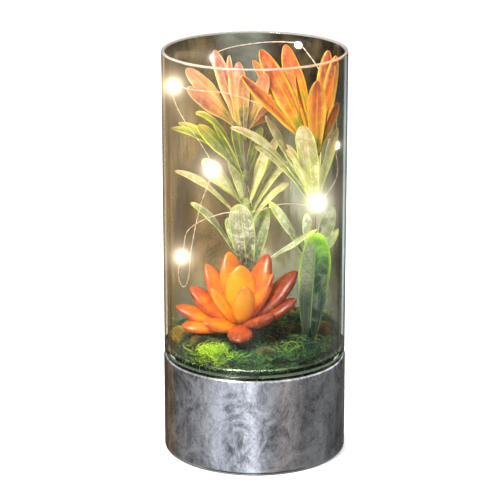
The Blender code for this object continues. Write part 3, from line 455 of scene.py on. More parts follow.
class Look:
    """The node tree and main shader of a material or a world."""

    def __init__(self, owner, shader="Principled BSDF"):
        owner.use_nodes = True
        self.material = owner
        self.tree = owner.node_tree
        self.shader = self.tree.nodes[shader]
        self.main = Value(self.shader.outputs[0])

    def value(self, kind, sockets=None, output=0, **settings):
        """An output of a new node."""
        return node(self.tree, kind, sockets, output, **settings)

    def facts(self, *names):
        """Values of mesh attributes."""
        return [self.value("ShaderNodeAttribute", None, "Fac", attribute_name=name) for name in names]

    def place(self):
        """Coordinates in the object's own frame, in metres."""
        return self.value("ShaderNodeTexCoord", None, "Object")

    def axis(self, index, source=None):
        """One coordinate of a vector or else of the place: 0 right, 1 back, 2 up."""
        return self.value("ShaderNodeSeparateXYZ", {0: source or self.place()}, index)

    def ray(self, kind):
        """One for rays of a kind, else zero."""
        return self.value("ShaderNodeLightPath", None, "Is %s Ray" % kind)

    def back(self):
        """One where a face is seen from behind, else zero."""
        return self.value("ShaderNodeNewGeometry", None, "Backfacing")

    def clear(self, tone=(1.0, 1.0, 1.0)):
        """Shader that lets light through, tinted."""
        return self.value("ShaderNodeBsdfTransparent", {"Color": tone})

    def noise(self, scale, detail=3.0, rough=0.5, twist=0.0, stretch=(1.0, 1.0, 1.0), vector=None):
        """Value of a noise texture, over the object unless another vector is given."""
        mapped = self.value("ShaderNodeMapping", {"Vector": vector or self.place(), "Scale": stretch})
        sockets = {"Vector": mapped, "Scale": scale, "Detail": detail, "Roughness": rough}
        return self.value("ShaderNodeTexNoise", {**sockets, "Distortion": twist}, "Fac")

    def give(self, **values):
        """Set or link sockets of the main shader, spelled with underscores."""
        for key, value in values.items():
            connect(self.shader.inputs[key.replace("_", " ")], value)

    def bump(self, height, distance, strength=1.0):
        """Give the main shader a bump from a height."""
        sockets = {"Height": height, "Distance": distance, "Strength": strength}
        self.give(Normal=self.value("ShaderNodeBump", sockets))

    def show(self, shader):
        """Show another shader than the main one."""
        connect(self.tree.nodes["Material Output"].inputs["Surface"], shader)


def new_look(name):
    """The look of a new material."""
    return Look(bpy.data.materials.new(name))


def unit(vectors):
    """Vectors scaled to length one along their last axis."""
    return vectors / np.linalg.norm(vectors, axis=-1, keepdims=True)


def circle(angles):
    """Level points at angles on a circle of radius one."""
    return np.stack([np.cos(angles), np.sin(angles)], axis=-1)


def raised(spots, levels):
    """Points from level spots and their heights."""
    return np.concatenate([spots, levels[..., None]], axis=-1)


def line(start, end, steps):
    """Points at shares of the way from start to end."""
    return start + (end - start) * steps[:, None]


def eased(count):
    """Shares from 0 to 1, closer together at both ends."""
    return (1.0 - np.cos(np.pi * np.linspace(0.0, 1.0, count))) / 2.0


def round_swell(steps):
    """Heights of a half circle over shares of its width."""
    return np.sqrt(np.maximum(1.0 - (steps * 2.0 - 1.0) ** 2, 0.0))


def bearing_away(bearing):
    """Level direction of a bearing in degrees."""
    angle = math.radians(bearing)
    return np.array((math.cos(angle), math.sin(angle), 0.0))


def arc(centre_r, centre_z, radius, start, end, steps):
    """Points of an arc in a profile, angles in degrees."""
    return np.array((centre_r, centre_z)) + radius * circle(np.radians(np.linspace(start, end, steps + 1)))


def bowed(root, tip, bow, parts):
    """Points and directions along a line that bows upward between two ends."""
    middle = (root + tip) / 2.0 + UP * (bow * np.linalg.norm(tip - root))
    part = parts[:, None]
    points = root * (1.0 - part) ** 2 + middle * (2.0 * part * (1.0 - part)) + tip * part ** 2
    return points, unit((middle - root) * (1.0 - part) + (tip - middle) * part)


def tube_rings(points, radii, around):
    """Rings of a tube along points, turned as little as can be."""
    directions = unit(np.gradient(points, axis=0))
    side = np.cross(directions[0], (0.3, 0.5, 0.81))
    rings = []
    angles = 2.0 * np.pi * (np.arange(around) + 0.5) / around
    for point, direction, radius in zip(points, directions, np.broadcast_to(radii, len(points))):
        side = side - direction * side.dot(direction)
        side = side / np.linalg.norm(side)
        ring = np.outer(np.cos(angles), side) + np.outer(np.sin(angles), np.cross(direction, side))
        rings.append(point + ring * radius)
    return np.array(rings)


def wall_quads(rows, around, closed=False):
    """Quads between rings; closed joins the last ring to the first."""
    row = np.arange(rows if closed else rows - 1)[:, None]
    below = (row + 1) % rows * around
    row = row * around
    step = np.arange(around)[None, :]
    after = (step + 1) % around
    return np.stack([row + step, below + step, below + after, row + after], axis=-1).reshape(-1, 4)


def loft_faces(rows, around):
    """Quads of a closed tube of rings whose two ends are zipped shut."""
    walls = wall_quads(rows, around)[:, (0, 3, 2, 1)]
    pair = np.arange(around // 2 - 1)
    cap = np.stack([pair, around - 1 - pair, around - 2 - pair, pair + 1], axis=-1)
    return np.concatenate([walls, cap, (rows - 1) * around + cap[:, ::-1]])


def build_mesh(name, points, quads, tris=NO_TRIS, facts=None):
    """A smooth mesh from arrays, with one float attribute for each named fact."""
    mesh = bpy.data.meshes.new(name)
    loops = np.concatenate([quads.ravel(), tris.ravel()]).astype(np.int32)
    sizes = np.repeat((4, 3), (len(quads), len(tris)))
    starts = (np.cumsum(sizes) - sizes).astype(np.int32)
    mesh.vertices.add(len(points))
    mesh.vertices.foreach_set("co", np.asarray(points, np.float32).ravel())
    mesh.loops.add(len(loops))
    mesh.loops.foreach_set("vertex_index", loops)
    mesh.polygons.add(len(starts))
    mesh.polygons.foreach_set("loop_start", starts)
    mesh.update(calc_edges=True)
    for key, values in (facts or {}).items():
        layer = mesh.attributes.new(key, "FLOAT", "POINT")
        layer.data.foreach_set("value", np.asarray(values, np.float32))
    mesh.shade_smooth()
    return mesh


def placed(name, data):
    """A new object in the scene."""
    thing = bpy.data.objects.new(name, data)
    bpy.context.scene.collection.objects.link(thing)
    return thing


def new_piece(stands_for, ending, mesh, materials):
    """A mesh as a piece that rides on the body and stands for a CAD node."""
    thing = placed(stands_for + ending, mesh)
    for material in materials:
        mesh.materials.append(material)
    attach(thing, BODY)
    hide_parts(stands_for)


class Gathered:
    """Collects surfaces, with facts for each point, into one mesh."""

    def __init__(self):
        self.points = []
        self.quads = []
        self.tris = []
        self.facts = []
        self.count = 0

    def take(self, points, quads, tris, facts):
        """Add points with their faces and facts."""
        self.points.append(points)
        self.quads.append(quads + self.count)
        self.tris.append(tris + self.count)
        self.facts.append(facts)
        self.count += len(points)

    def add(self, rings, **facts):
        """Add one closed tube of rings (rows, around, 3)."""
        rows, around = rings.shape[:2]
        full = {key: np.broadcast_to(value, (rows, around)).ravel() for key, value in facts.items()}
        self.take(rings.reshape(-1, 3), loft_faces(rows, around), NO_TRIS, full)

    def piece(self, stands_for, ending, material):
        """Make the piece."""
        facts = {key: np.concatenate([each[key] for each in self.facts]) for key in self.facts[0]}
        arrays = [np.concatenate(each) for each in (self.points, self.quads, self.tris)]
        new_piece(stands_for, ending, build_mesh(stands_for, *arrays, facts), [material])


def plastic(name, low, high, roughness):
    """Moulded plastic: fine grain, slightly cloudy, satin gloss."""
    look = new_look(name)
    cloud = look.noise(90.0, 4.0)
    look.give(Base_Color=cloud.between(low, high))
    look.give(Roughness=cloud.spread(0.2, 0.8, roughness - 0.06, roughness + 0.08))
    look.bump(look.noise(900.0, 2.0), 0.00004, 0.6)
    return look.material


def leaf_rings(root, tip, away, width, bow, twist, phase):
    """Rings of a folded blade with a groove, raised veins and a softly waved edge."""
    broad = width > BROAD_WIDTH
    rows, points_across, lean, fullness = BROAD_FORM if broad else NARROW_FORM
    parts = eased(rows)
    spine, directions = bowed(root, tip, bow, parts)
    across = np.array((-away[1], away[0], 0.0))
    face = unit(np.cross(across, directions))
    turn = np.radians(twist) * np.minimum(1.0, LEAF_TWIST_RUN * parts)[:, None]
    side = across * np.cos(turn) + face * np.sin(turn)
    face = face * np.cos(turn) - across * np.sin(turn)
    swell = np.maximum(np.sin(np.pi * parts ** lean), 0.0)
    share = LEAF_ROOT_SHARE * (1.0 - parts) + LEAF_SWELL * swell ** fullness
    share = np.maximum(share, LEAF_TIP_SHARE)
    half = 0.5 * width * share[:, None]
    sides = np.sin(np.linspace(-np.pi / 2.0, np.pi / 2.0, points_across))[None, :]
    along = parts[:, None]
    rise = half * LEAF_FOLD * np.abs(sides) ** LEAF_FOLD_POWER
    shift = np.where(sides > 0.0, LEAF_EDGE_SHIFT, 0.0)
    wave = np.sin(2.0 * np.pi * LEAF_EDGE_WAVES * along + phase + shift)
    rise = rise + LEAF_EDGE_WAVE * width * wave * sides ** 2 * np.sin(np.pi * along)
    rise = rise - LEAF_GROOVE * np.exp(-(sides / LEAF_GROOVE_WIDTH) ** 2)
    if broad:
        vein = np.cos(2.0 * np.pi * (LEAF_VEINS * along - LEAF_VEIN_SLANT * np.abs(sides)))
        rise = rise - LEAF_VEIN_DEPTH * np.maximum(vein, 0.0) ** 2 * (1.0 - sides ** 2)
    middle = spine[:, None] + side[:, None] * (half * sides)[..., None] + face[:, None] * rise[..., None]
    thinned = np.sqrt(1.0 - LEAF_THINNED * sides ** 2)
    thick = 0.5 * LEAF_THICK * thinned * np.minimum(1.0, 3.0 * share[:, None])
    lift = face[:, None] * thick[..., None]
    rings = np.concatenate([middle - lift, (middle + lift)[:, ::-1]], axis=1)
    return rings, along, np.concatenate([sides, sides[:, ::-1]], axis=1)


def vein_wave(along, distance, blotch, count, slant, waver):
    """Wave with its crests on slanting veins, so many along the leaf."""
    phase = along * count - distance * slant + blotch.spread(0.3, 0.7, -waver, waver)
    return (phase * (2.0 * math.pi)).maths("COSINE")


def leaf_material(name):
    """Frosted satin leaf: tones that run along the blade, fine lines, veins and a pale margin,
    with painted shade on the half turned from the light.
    """
    tones = LEAF_LOOKS[name]
    look = new_look("leaf_" + name)
    along, across, tint, broad = look.facts("along", "across", "tint", "broad")
    distance = abs(across)
    blotch = look.noise(110.0, 5.0, 0.6)
    # Tones along the blade, shifted by blotches and from leaf to leaf
    shifted = along + blotch.spread(0.3, 0.7, -0.16, 0.16) + tint.spread(0.0, 1.0, -0.12, 0.12)
    base = shifted.ramp(tones["along"])
    # Painted shade: the half turned from the light is darkened
    base = base.mixed(across.spread(-0.15, 0.30, 0.0, tones["deep"]), (0.25, 0.28, 0.22), "MULTIPLY")
    # Fine dark lines along the blade, strongest in its lower half
    plane = look.value("ShaderNodeCombineXYZ", {0: across * 2.6, 1: along * 0.8, 2: tint})
    lines = look.noise(2.6, 5.0, 0.62, 0.5, (1.0, 0.8, 7.0), plane)
    base = base.mixed(lines.spread(0.50, 0.66) * along.spread(0.35, 1.0, 0.85, 0.35), tones["line"])
    # Frosting on the raised parts, patchy, with specks
    patch = look.noise(260.0, 5.0, 0.68, 0.6)
    frost = patch.spread(0.42, 0.62) * tones["frosting"] * lines.spread(0.40, 0.60, 1.0, tones["between"])
    base = base.mixed(frost, tones["frost"])
    speck = look.noise(1700.0, 2.0).spread(0.66, 0.74, 0.0, 0.6) * patch.spread(0.4, 0.6)
    base = base.mixed(speck, (0.88, 0.88, 0.80))
    # Margin and midrib, stronger here and there
    start = tint.spread(0.55, 1.0, 0.80, 0.30)
    margin = distance.spread(start, 1.0, 0.0, 0.95) * blotch.spread(0.35, 0.65, 0.35, 1.0)
    rib = distance.spread(0.0, 0.09, 0.55, 0.0) * along.spread(0.5, 0.95, 1.0, 0.0)
    base = base.mixed(margin, tones["margin"]).mixed(rib, tones["margin"])
    # Slanting veins, on the broad leaves only
    wave = vein_wave(along, distance, blotch, LEAF_VEINS, LEAF_VEIN_SLANT, 0.12)
    base = base.mixed(wave.spread(0.93, 1.0, 0.0, tones["veins"]) * broad, tones["frost"])
    look.give(Base_Color=base, Roughness=patch.spread(0.3, 0.7, 0.32, 0.55), Specular_IOR_Level=0.32)
    look.give(Subsurface_Weight=0.2, Subsurface_Radius=(1.0, 0.8, 0.3), Subsurface_Scale=0.001)
    look.bump(lines * 0.3 + patch * 0.5, 0.0003, 0.8)
    return look.material


def stem_point(stem, height):
    """Point on a stem's line at a height in metres."""
    foot, top = STEMS[stem]
    return foot + (top - foot) * ((height - foot[2]) / (top[2] - foot[2]))


def make_whorl(name, stem, height, below, leaves, material):
    """A hub on the stem with its ring of leaves."""
    gathered = Gathered()
    centre = stem_point(stem, height * MM)
    for bearing, out, rise, width, level, bow, twist in leaves:
        away = bearing_away(bearing)
        root = stem_point(stem, (height + level) * MM) + away * LEAF_ROOT
        tip = centre + away * (out * MM) + UP * (rise * MM)
        phase = RANDOM.uniform(0.0, 2.0 * np.pi)
        rings, along, flat = leaf_rings(root, tip, away, width * MM, bow, twist, phase)
        broad = float(width * MM > BROAD_WIDTH)
        gathered.add(rings, along=along, across=flat, tint=RANDOM.uniform(), broad=broad)
    steps = eased(18)
    spine = line(stem_point(stem, (height - below) * MM), stem_point(stem, height * MM + HUB_ABOVE), steps)
    bulge = np.clip(np.sin(np.pi * steps ** 1.6), 0.0, 1.0)
    radii = HUB_RADIUS * (0.5 + 0.4 * bulge)
    # The hub's across of 0.5 puts it in the full painted shade of the leaf material
    gathered.add(tube_rings(spine, radii, 20), along=0.05, across=0.5, tint=0.4, broad=0.0)
    gathered.piece(name, "_leaves", material)


def stem_material():
    """Moulded stem: olive brown with lengthwise grain."""
    look = new_look("stem")
    grain = look.noise(700.0, 3.0, 0.6, 0.3, (1.0, 1.0, 0.12))
    stops = ((0.3, (0.06, 0.05, 0.04)), (0.5, (0.18, 0.14, 0.10)), (0.7, (0.34, 0.28, 0.18)))
    look.give(Base_Color=grain.ramp(stops), Roughness=0.55)
    look.bump(grain, 0.0002)
    return look.material


def make_stems():
    """The two stems, slightly knotted where leaves once sat."""
    material = stem_material()
    steps = np.linspace(0.0, 1.0, 80)
    radii = STEM_RADIUS * (0.88 + 0.10 * np.maximum(np.sin(2.0 * np.pi * STEM_KNOTS * steps), 0.0) ** 8)
    for name, (foot, top) in STEMS.items():
        gathered = Gathered()
        gathered.add(tube_rings(line(foot, top, steps), radii, 16))
        gathered.piece("stem_" + name, "_fine", material)


def dark_leaf_material():
    """Blue green leaf with a lime top: frosted left half, slanting veins, pale streaks lower down."""
    look = new_look("leaf_dark")
    along, across = look.facts("along", "across")
    distance = abs(across)
    blotch = look.noise(120.0, 5.0, 0.6, 0.8)
    grain = look.noise(1100.0, 4.0, 0.7)
    base = (along + blotch.spread(0.3, 0.7, -0.07, 0.07) + distance * 0.05).ramp(DARK_LEAF_TONES)
    # Frosting: all of the left half above the foot, wisps elsewhere
    left = across.spread(0.12, -0.22) * along.spread(0.30, 0.62, 0.15, 1.0)
    left = left * along.spread(0.86, 0.96, 1.0, 0.0)
    wisp = blotch.spread(0.46, 0.66, 0.0, 0.40)
    base = base.mixed(left.larger(wisp) * grain.spread(0.36, 0.62, 0.35, 0.80), (0.44, 0.48, 0.32))
    # Pale streaks that run up from the foot
    plane = look.value("ShaderNodeCombineXYZ", {0: across * 9.0, 1: along * 1.6})
    streak = look.noise(1.0, 4.0, 0.6, 0.3, (1.0, 1.0, 1.0), plane).spread(0.52, 0.66)
    base = base.mixed(streak * along.spread(0.35, 0.70, 0.26, 0.08), (0.30, 0.40, 0.30))
    # Slanting veins: dark where the leaf is frosted, pale green where it is not
    wave = vein_wave(along, distance, blotch, 9.0, 1.6, 0.10)
    vein = wave.spread(0.90, 1.0, 0.0, 0.45) * along.spread(0.25, 0.45)
    base = base.mixed(vein, across.spread(-0.1, 0.1).between((0.06, 0.12, 0.06), (0.12, 0.26, 0.10)))
    rib = distance.spread(0.02, 0.08, 0.75, 0.0) * along.spread(0.80, 0.95, 1.0, 0.0)
    edge = distance.spread(0.80, 0.97) * along.spread(0.30, 0.75, 0.10, 0.90)
    base = base.mixed(rib, (0.22, 0.36, 0.12)).mixed(edge, (0.36, 0.62, 0.05))
    look.give(Base_Color=base, Roughness=grain.spread(0.3, 0.7, 0.30, 0.46))
    look.give(Subsurface_Weight=0.15, Subsurface_Radius=(0.6, 1.0, 0.3), Subsurface_Scale=0.001)
    look.bump(grain * 0.25 - vein * 0.8, 0.0003, 0.8)
    return look.material


def make_dark_leaf():
    """The broad dark leaf and its round stalk."""
    gathered = Gathered()
    rings, along, flat = leaf_rings(
        DARK_LEAF_NECK, DARK_LEAF_TIP, np.array((0.0, -1.0, 0.0)), DARK_LEAF_WIDTH, 0.0, DARK_LEAF_TWIST,
        DARK_LEAF_PHASE)
    gathered.add(rings, along=along, across=flat)
    steps = np.linspace(0.0, 1.0, 12)
    spine = line(DARK_LEAF_FOOT, DARK_LEAF_NECK + UP * (4.0 * MM), steps)
    radii = STEM_RADIUS * (1.0 - 0.5 * steps ** 3)
    gathered.add(tube_rings(spine, radii, 14), along=0.02, across=0.5)
    gathered.piece("leaf_dark", "_fine", dark_leaf_material())


def petal_share(parts):
    """Width of a petal at shares of its length; it ends in a blunt point."""
    swell = PETAL_ROOT_SHARE + (1.0 - PETAL_ROOT_SHARE) * np.sin(0.5 * np.pi * parts / PETAL_WIDEST)
    end = np.clip((parts - PETAL_WIDEST) / (1.0 - PETAL_WIDEST), 0.0, 1.0)
    return np.where(parts < PETAL_WIDEST, swell, np.maximum((1.0 - end ** 2) ** 0.62, PETAL_TIP_SHARE))


def petal_rings(root, tip, width, thick, bow):
    """Rings of a fleshy petal; its inner face leans to the front."""
    parts = eased(32)
    spine, directions = bowed(root, tip, -bow, parts)
    outward = unit((tip - root) * (1.0, 1.0, 0.0))
    across = np.array((-outward[1], outward[0] * math.cos(ROSETTE_LEAN), outward[0] * math.sin(ROSETTE_LEAN)))
    face = unit(np.cross(across, directions))
    share = petal_share(parts)[:, None]
    angles = (2.0 * np.pi * (np.arange(PETAL_AROUND) + 0.5) / PETAL_AROUND)[None, :]
    upper = np.where(np.sin(angles) < 0.0, 0.85, 1.0)
    half = 0.5 * width * share * np.cos(angles)
    deep = 0.5 * thick * np.minimum(1.0, 1.15 * share) * np.sin(angles) * upper
    rings = spine[:, None] + across * half[..., None] + face[:, None] * deep[..., None]
    return rings, parts[:, None], np.cos(angles)


def petal_material():
    """Waxy petal: yellow heart, orange middle, red edge and tip, under a gloss, with painted shade
    towards each petal's root.
    """
    look = new_look("petals")
    warm, along, across = look.facts("warm", "along", "across")
    rim = abs(across).spread(0.70, 1.0)
    cloud = look.noise(150.0, 4.0, 0.6)
    fine = look.noise(420.0, 3.0)
    warmth = warm + along.spread(0.60, 1.0, 0.0, 0.24) + rim * 0.20 + cloud.spread(0.3, 0.7, -0.14, 0.14)
    # Painted shade: each petal darkened towards its root, where the petals crowd round the core
    base = warmth.ramp(PETAL_TONES).mixed(along.spread(0.0, 0.35, 0.85, 0.0), (0.10, 0.03, 0.01))
    base = base.mixed(fine.spread(0.52, 0.70) * 0.14, (0.95, 0.56, 0.18))
    look.give(Base_Color=base, Roughness=cloud.spread(0.3, 0.7, 0.24, 0.38))
    look.give(Subsurface_Weight=0.2, Subsurface_Radius=(1.0, 0.45, 0.1), Subsurface_Scale=0.0025)
    look.give(Coat_Weight=0.8, Coat_Roughness=0.2)
    look.bump(fine, 0.00012, 0.5)
    return look.material


def make_succulent():
    """The rosette: its core and its petals."""
    gathered = Gathered()
    for bearing, out, rise, width, thick, bow, warm in PETALS:
        away = bearing_away(bearing)
        tip = CORE_TOP + away * (out * MM) + UP * (rise * MM)
        rings, along, flat = petal_rings(CORE_TOP + away * PETAL_ROOT, tip, width * MM, thick * MM, bow)
        gathered.add(rings, along=along, across=flat, warm=warm)
    steps = np.linspace(0.0, 1.0, 14)
    foot = np.array((CORE_TOP[0], CORE_TOP[1], CORE_FOOT_Z))
    spine = line(foot, CORE_TOP + UP * (2.0 * MM), steps)
    radii = CORE_RADIUS * (1.0 - 0.6 * steps ** 6)
    gathered.add(tube_rings(spine, radii, 24), along=0.1, across=0.0, warm=0.8)
    gathered.piece("succulent", "_fine", petal_material())


def moss_height(spots):
    """Height of the moss top at spots in the plane."""
    away = np.linalg.norm(spots, axis=-1) / MOSS_RADIUS
    height = MOSS_TOP - MOSS_EDGE_DROP * away ** 4
    first = np.sin(spots[..., 0] / MOSS_WAVE_LENGTH[0] + 1.0)
    height = height + MOSS_WAVE * first * np.cos(spots[..., 1] / MOSS_WAVE_LENGTH[1])
    for centre, rise, reach in MOUNDS:
        distance = np.linalg.norm(spots - centre, axis=-1)
        height = height + rise * np.exp(-(distance / reach) ** 2)
    return height


def rough(points, size, height):
    """A cheap bumpy field over points, from a few turned waves."""
    total = np.zeros(len(points))
    for index in range(7):
        direction = unit(RANDOM.normal(size=3))
        wave = points @ direction * (2.0 * np.pi / (size * (0.6 + 0.15 * index)))
        total += np.sin(wave + RANDOM.uniform(0.0, 6.28))
    return total * height / 3.0


def within_glass(points):
    """Points drawn in level with the axis where they would touch the glass wall."""
    far = np.linalg.norm(points[..., :2], axis=-1, keepdims=True)
    points[..., :2] *= np.minimum(1.0, MOSS_LIMIT / np.maximum(far, 1e-6))
    return points


def fibres(roots, directions, lengths, widths, droop):
    """Tapered three-sided fibres as points, quads, triangles and facts."""
    count = len(roots)
    directions = unit(directions)
    side = unit(np.cross(directions, unit(RANDOM.normal(size=(count, 3)))))
    other = np.cross(directions, side)
    bend = unit(RANDOM.normal(size=(count, 3))) * FIBRE_BEND - UP * droop
    length = lengths[:, None]
    middle = roots + directions * length * 0.5 + bend * length * 0.12
    tip = roots + directions * length * 0.92 + bend * length * 0.5
    rings = []
    for centre, scale in ((roots, 1.0), (middle, 0.75)):
        for angle in 2.0 * np.pi * np.arange(3) / 3.0:
            offset = side * math.cos(angle) + other * math.sin(angle)
            rings.append(centre + offset * (widths[:, None] * 0.5 * scale))
    points = within_glass(np.stack(rings + [tip], axis=1))
    first = (np.arange(count) * len(FIBRE_ALONG))[:, None]
    quads = np.concatenate([first + np.array(corners) for corners in FIBRE_QUADS])
    tris = np.concatenate([first + np.array(corners) for corners in FIBRE_TRIS])
    tint = np.repeat(RANDOM.uniform(size=count), len(FIBRE_ALONG))
    return points.reshape(-1, 3), quads, tris, {"along": np.tile(FIBRE_ALONG, count), "tint": tint}


def curls(spots, lengths, widths, turns, lift, tints):
    """Curled strands that lie on the moss, as arrays like those of fibres."""
    count = len(spots)
    heading = RANDOM.uniform(0.0, 2.0 * np.pi, count)[:, None]
    veer = turns[:, None] * (1.0 + 0.5 * RANDOM.normal(size=(count, CURL_ROWS))) / CURL_ROWS
    pace = (lengths / CURL_ROWS)[:, None, None]
    flat = spots[:, None] + np.cumsum(circle(heading + np.cumsum(veer, axis=1)) * pace, axis=1)
    flat = within_glass(flat)
    parts = np.linspace(0.0, 1.0, CURL_ROWS)
    hop = lift[:, None] * np.abs(np.sin(np.pi * (parts * RANDOM.uniform(0.8, 2.2, count)[:, None])))
    spine = raised(flat, moss_height(flat) + hop + 0.2 * MM)
    along = unit(np.gradient(spine, axis=1) + 1e-7)
    side = unit(np.cross(along, UP))
    other = np.cross(side, along)
    radius = (widths[:, None] * 0.5 * (1.0 - 0.8 * np.abs(parts * 2.0 - 1.0) ** 3))[..., None]
    angles = 2.0 * np.pi * np.arange(4) / 4.0
    rings = np.stack([spine + (side * math.cos(a) + other * math.sin(a)) * radius for a in angles], axis=2)
    size = CURL_ROWS * 4
    first = np.arange(count)[:, None] * size
    quads = np.concatenate([first + corners for corners in loft_faces(CURL_ROWS, 4)])
    facts = {"along": np.full(count * size, 0.7), "tint": np.repeat(tints, size)}
    return rings.reshape(-1, 3), quads, NO_TRIS, facts


def moss_body():
    """The bed itself: an uneven top on a body that fills the foot of the glass."""
    step = np.arange(MOSS_AROUND)
    ring = circle(2.0 * np.pi * step / MOSS_AROUND)
    radii = MOSS_RADIUS * np.linspace(0.0, 1.0, MOSS_ROWS + 1)[1:]
    top = ring[None] * radii[:, None, None]
    rings = [raised(top, moss_height(top))]
    reach = GLASS_INNER_ROUND - 0.6 * MM
    for angle in np.radians((-20.0, -45.0, -65.0, -90.0)):
        radius = min(INNER_RADIUS - GLASS_INNER_ROUND + reach * math.cos(angle), MOSS_RADIUS)
        level = FLOOR_Z + GLASS_INNER_ROUND + reach * math.sin(angle)
        rings.append(raised(ring * radius, np.full(MOSS_AROUND, level))[None])
    flat = np.concatenate(rings).reshape(-1, 3)
    lift = rough(flat, 7.0 * MM, 0.5 * MM) + rough(flat, 2.6 * MM, 0.3 * MM)
    lift[MOSS_ROWS * MOSS_AROUND:] *= 0.2
    flat[:, 2] += lift
    points = np.concatenate([flat, [(0.0, 0.0, moss_height(np.zeros(2))), (0.0, 0.0, flat[-1, 2])]])
    hub = np.full(MOSS_AROUND, len(flat))
    after = (step + 1) % MOSS_AROUND
    low = len(flat) - MOSS_AROUND
    tris = np.concatenate([
        np.stack([hub, step, after], axis=-1),
        np.stack([hub + 1, low + after, low + step], axis=-1),
    ])
    # An along of zero gives the bed's body the deepest painted shade in its material
    facts = {"along": np.zeros(len(points)), "tint": np.full(len(points), 0.3)}
    return points, wall_quads(len(flat) // MOSS_AROUND, MOSS_AROUND), tris, facts


def moss_material(name, stops):
    """Dry moss: each fibre has its own tone, with painted shade that darkens it towards its root
    and lightens its tip; the front is greener.
    """
    look = new_look(name)
    tint, along = look.facts("tint", "along")
    patch = look.noise(85.0, 5.0, 0.65)
    base = (tint * 0.40 + patch.spread(0.3, 0.7, 0.0, 0.50)).ramp(stops)
    lime = look.axis(0).spread(-6.0 * MM, -22.0 * MM)
    low = lime.between((0.03, 0.17, 0.03), (0.16, 0.40, 0.01))
    high = lime.between((0.10, 0.32, 0.04), (0.50, 0.78, 0.02))
    front = look.axis(1).spread(-26.0 * MM, -40.0 * MM) * patch.spread(0.40, 0.56)
    base = base.mixed(front * 0.8, tint.between(low, high))
    # Painted shade: darker deep in the bed and at fibre roots, lighter at fibre tips
    base = base.mixed(1.0, along.spread(0.0, 0.7, 0.30, 1.3).grey(), "MULTIPLY")
    look.give(Base_Color=base, Roughness=patch.spread(0.3, 0.7, 0.65, 0.9), Sheen_Weight=0.15)
    look.bump(look.noise(900.0, 3.0), 0.0004)
    return look.material


def scattered(count, reach):
    """Random spots on a disc round the axis."""
    radius = reach * np.sqrt(RANDOM.uniform(0.0, 1.0, count))
    return circle(RANDOM.uniform(0.0, 2.0 * np.pi, count)) * radius[:, None]


def make_moss_bed():
    """The bed with its cover of short fibres, a skirt along the glass and curled strands."""
    count = COVER_FIBRES
    spots = scattered(count, MOSS_LIMIT)
    directions = RANDOM.normal(size=(count, 3)) + UP * 0.6
    directions[:, 2] = np.abs(directions[:, 2])
    lengths = RANDOM.uniform(*COVER_LENGTHS, count) * MM
    widths = RANDOM.uniform(*COVER_WIDTHS, count) * MM
    roots = raised(spots, moss_height(spots) - ROOT_DEPTH)
    cover = fibres(roots, directions, lengths, widths, COVER_DROOP)
    count = SKIRT_FIBRES
    spots = circle(RANDOM.uniform(0.0, 2.0 * np.pi, count)) * MOSS_RADIUS
    roots = raised(spots, RANDOM.uniform(SKIRT_LOW, MOSS_TOP - MOSS_EDGE_DROP, count))
    directions = RANDOM.normal(size=(count, 3)) * (1.0, 1.0, 0.5)
    skirt = fibres(roots, directions, lengths[:count], widths[:count], 0.0)
    count = CURLED_STRANDS
    spots = scattered(count, CURL_REACH)
    lengths = RANDOM.uniform(*CURL_LENGTHS, count) * MM
    widths = RANDOM.uniform(*CURL_WIDTHS, count) * MM
    turns = RANDOM.uniform(*CURL_TURNS, count) * RANDOM.choice((-1.0, 1.0), count)
    lift = RANDOM.uniform(*CURL_LIFTS, count) * MM
    strands = curls(spots, lengths, widths, turns, lift, RANDOM.uniform(0.5, 1.5, count))
    gathered = Gathered()
    for part in (moss_body(), cover, skirt, strands):
        gathered.take(*part)
    gathered.piece("moss_bed", "_fine", moss_material("moss_bed", MOSS_TONES["bed"]))


def make_clumps():
    """The coloured clumps: a lumpy heart under its own fibres."""
    count = CLUMP_FIBRES
    steps = eased(16)
    for name, centre, half_sizes, slot, look in CLUMPS:
        centre = np.array(centre) * MM
        half = np.array(half_sizes) * MM
        directions = unit(RANDOM.normal(size=(count, 3)))
        directions[:, 2] = np.abs(directions[:, 2])
        aim = directions + RANDOM.normal(size=(count, 3)) * 0.7
        lengths = RANDOM.uniform(*CLUMP_LENGTHS, count) * MM
        widths = RANDOM.uniform(*CLUMP_WIDTHS, count) * MM
        cover = fibres(centre + directions * half * CLUMP_ROOTS, aim, lengths, widths, CLUMP_DROOP)
        spine = centre + np.outer(steps * 2.0 - 1.0, (0.0, 0.0, half[2]))
        rings = tube_rings(spine, np.maximum(round_swell(steps), 0.02), 28) - spine[:, None]
        heart = rings * np.array((half[0], half[1], 1.0)) + spine[:, None]
        flat = heart.reshape(-1, 3)
        flat += (flat - centre) * (rough(flat, 3.0 * MM, 0.12)[:, None])
        gathered = Gathered()
        # An along of 0.3 gives the heart painted shade in its material
        gathered.add(heart, along=0.3, tint=0.5)
        gathered.take(*cover)
        gathered.piece(name, "_fine", moss_material(name, MOSS_TONES[look]))


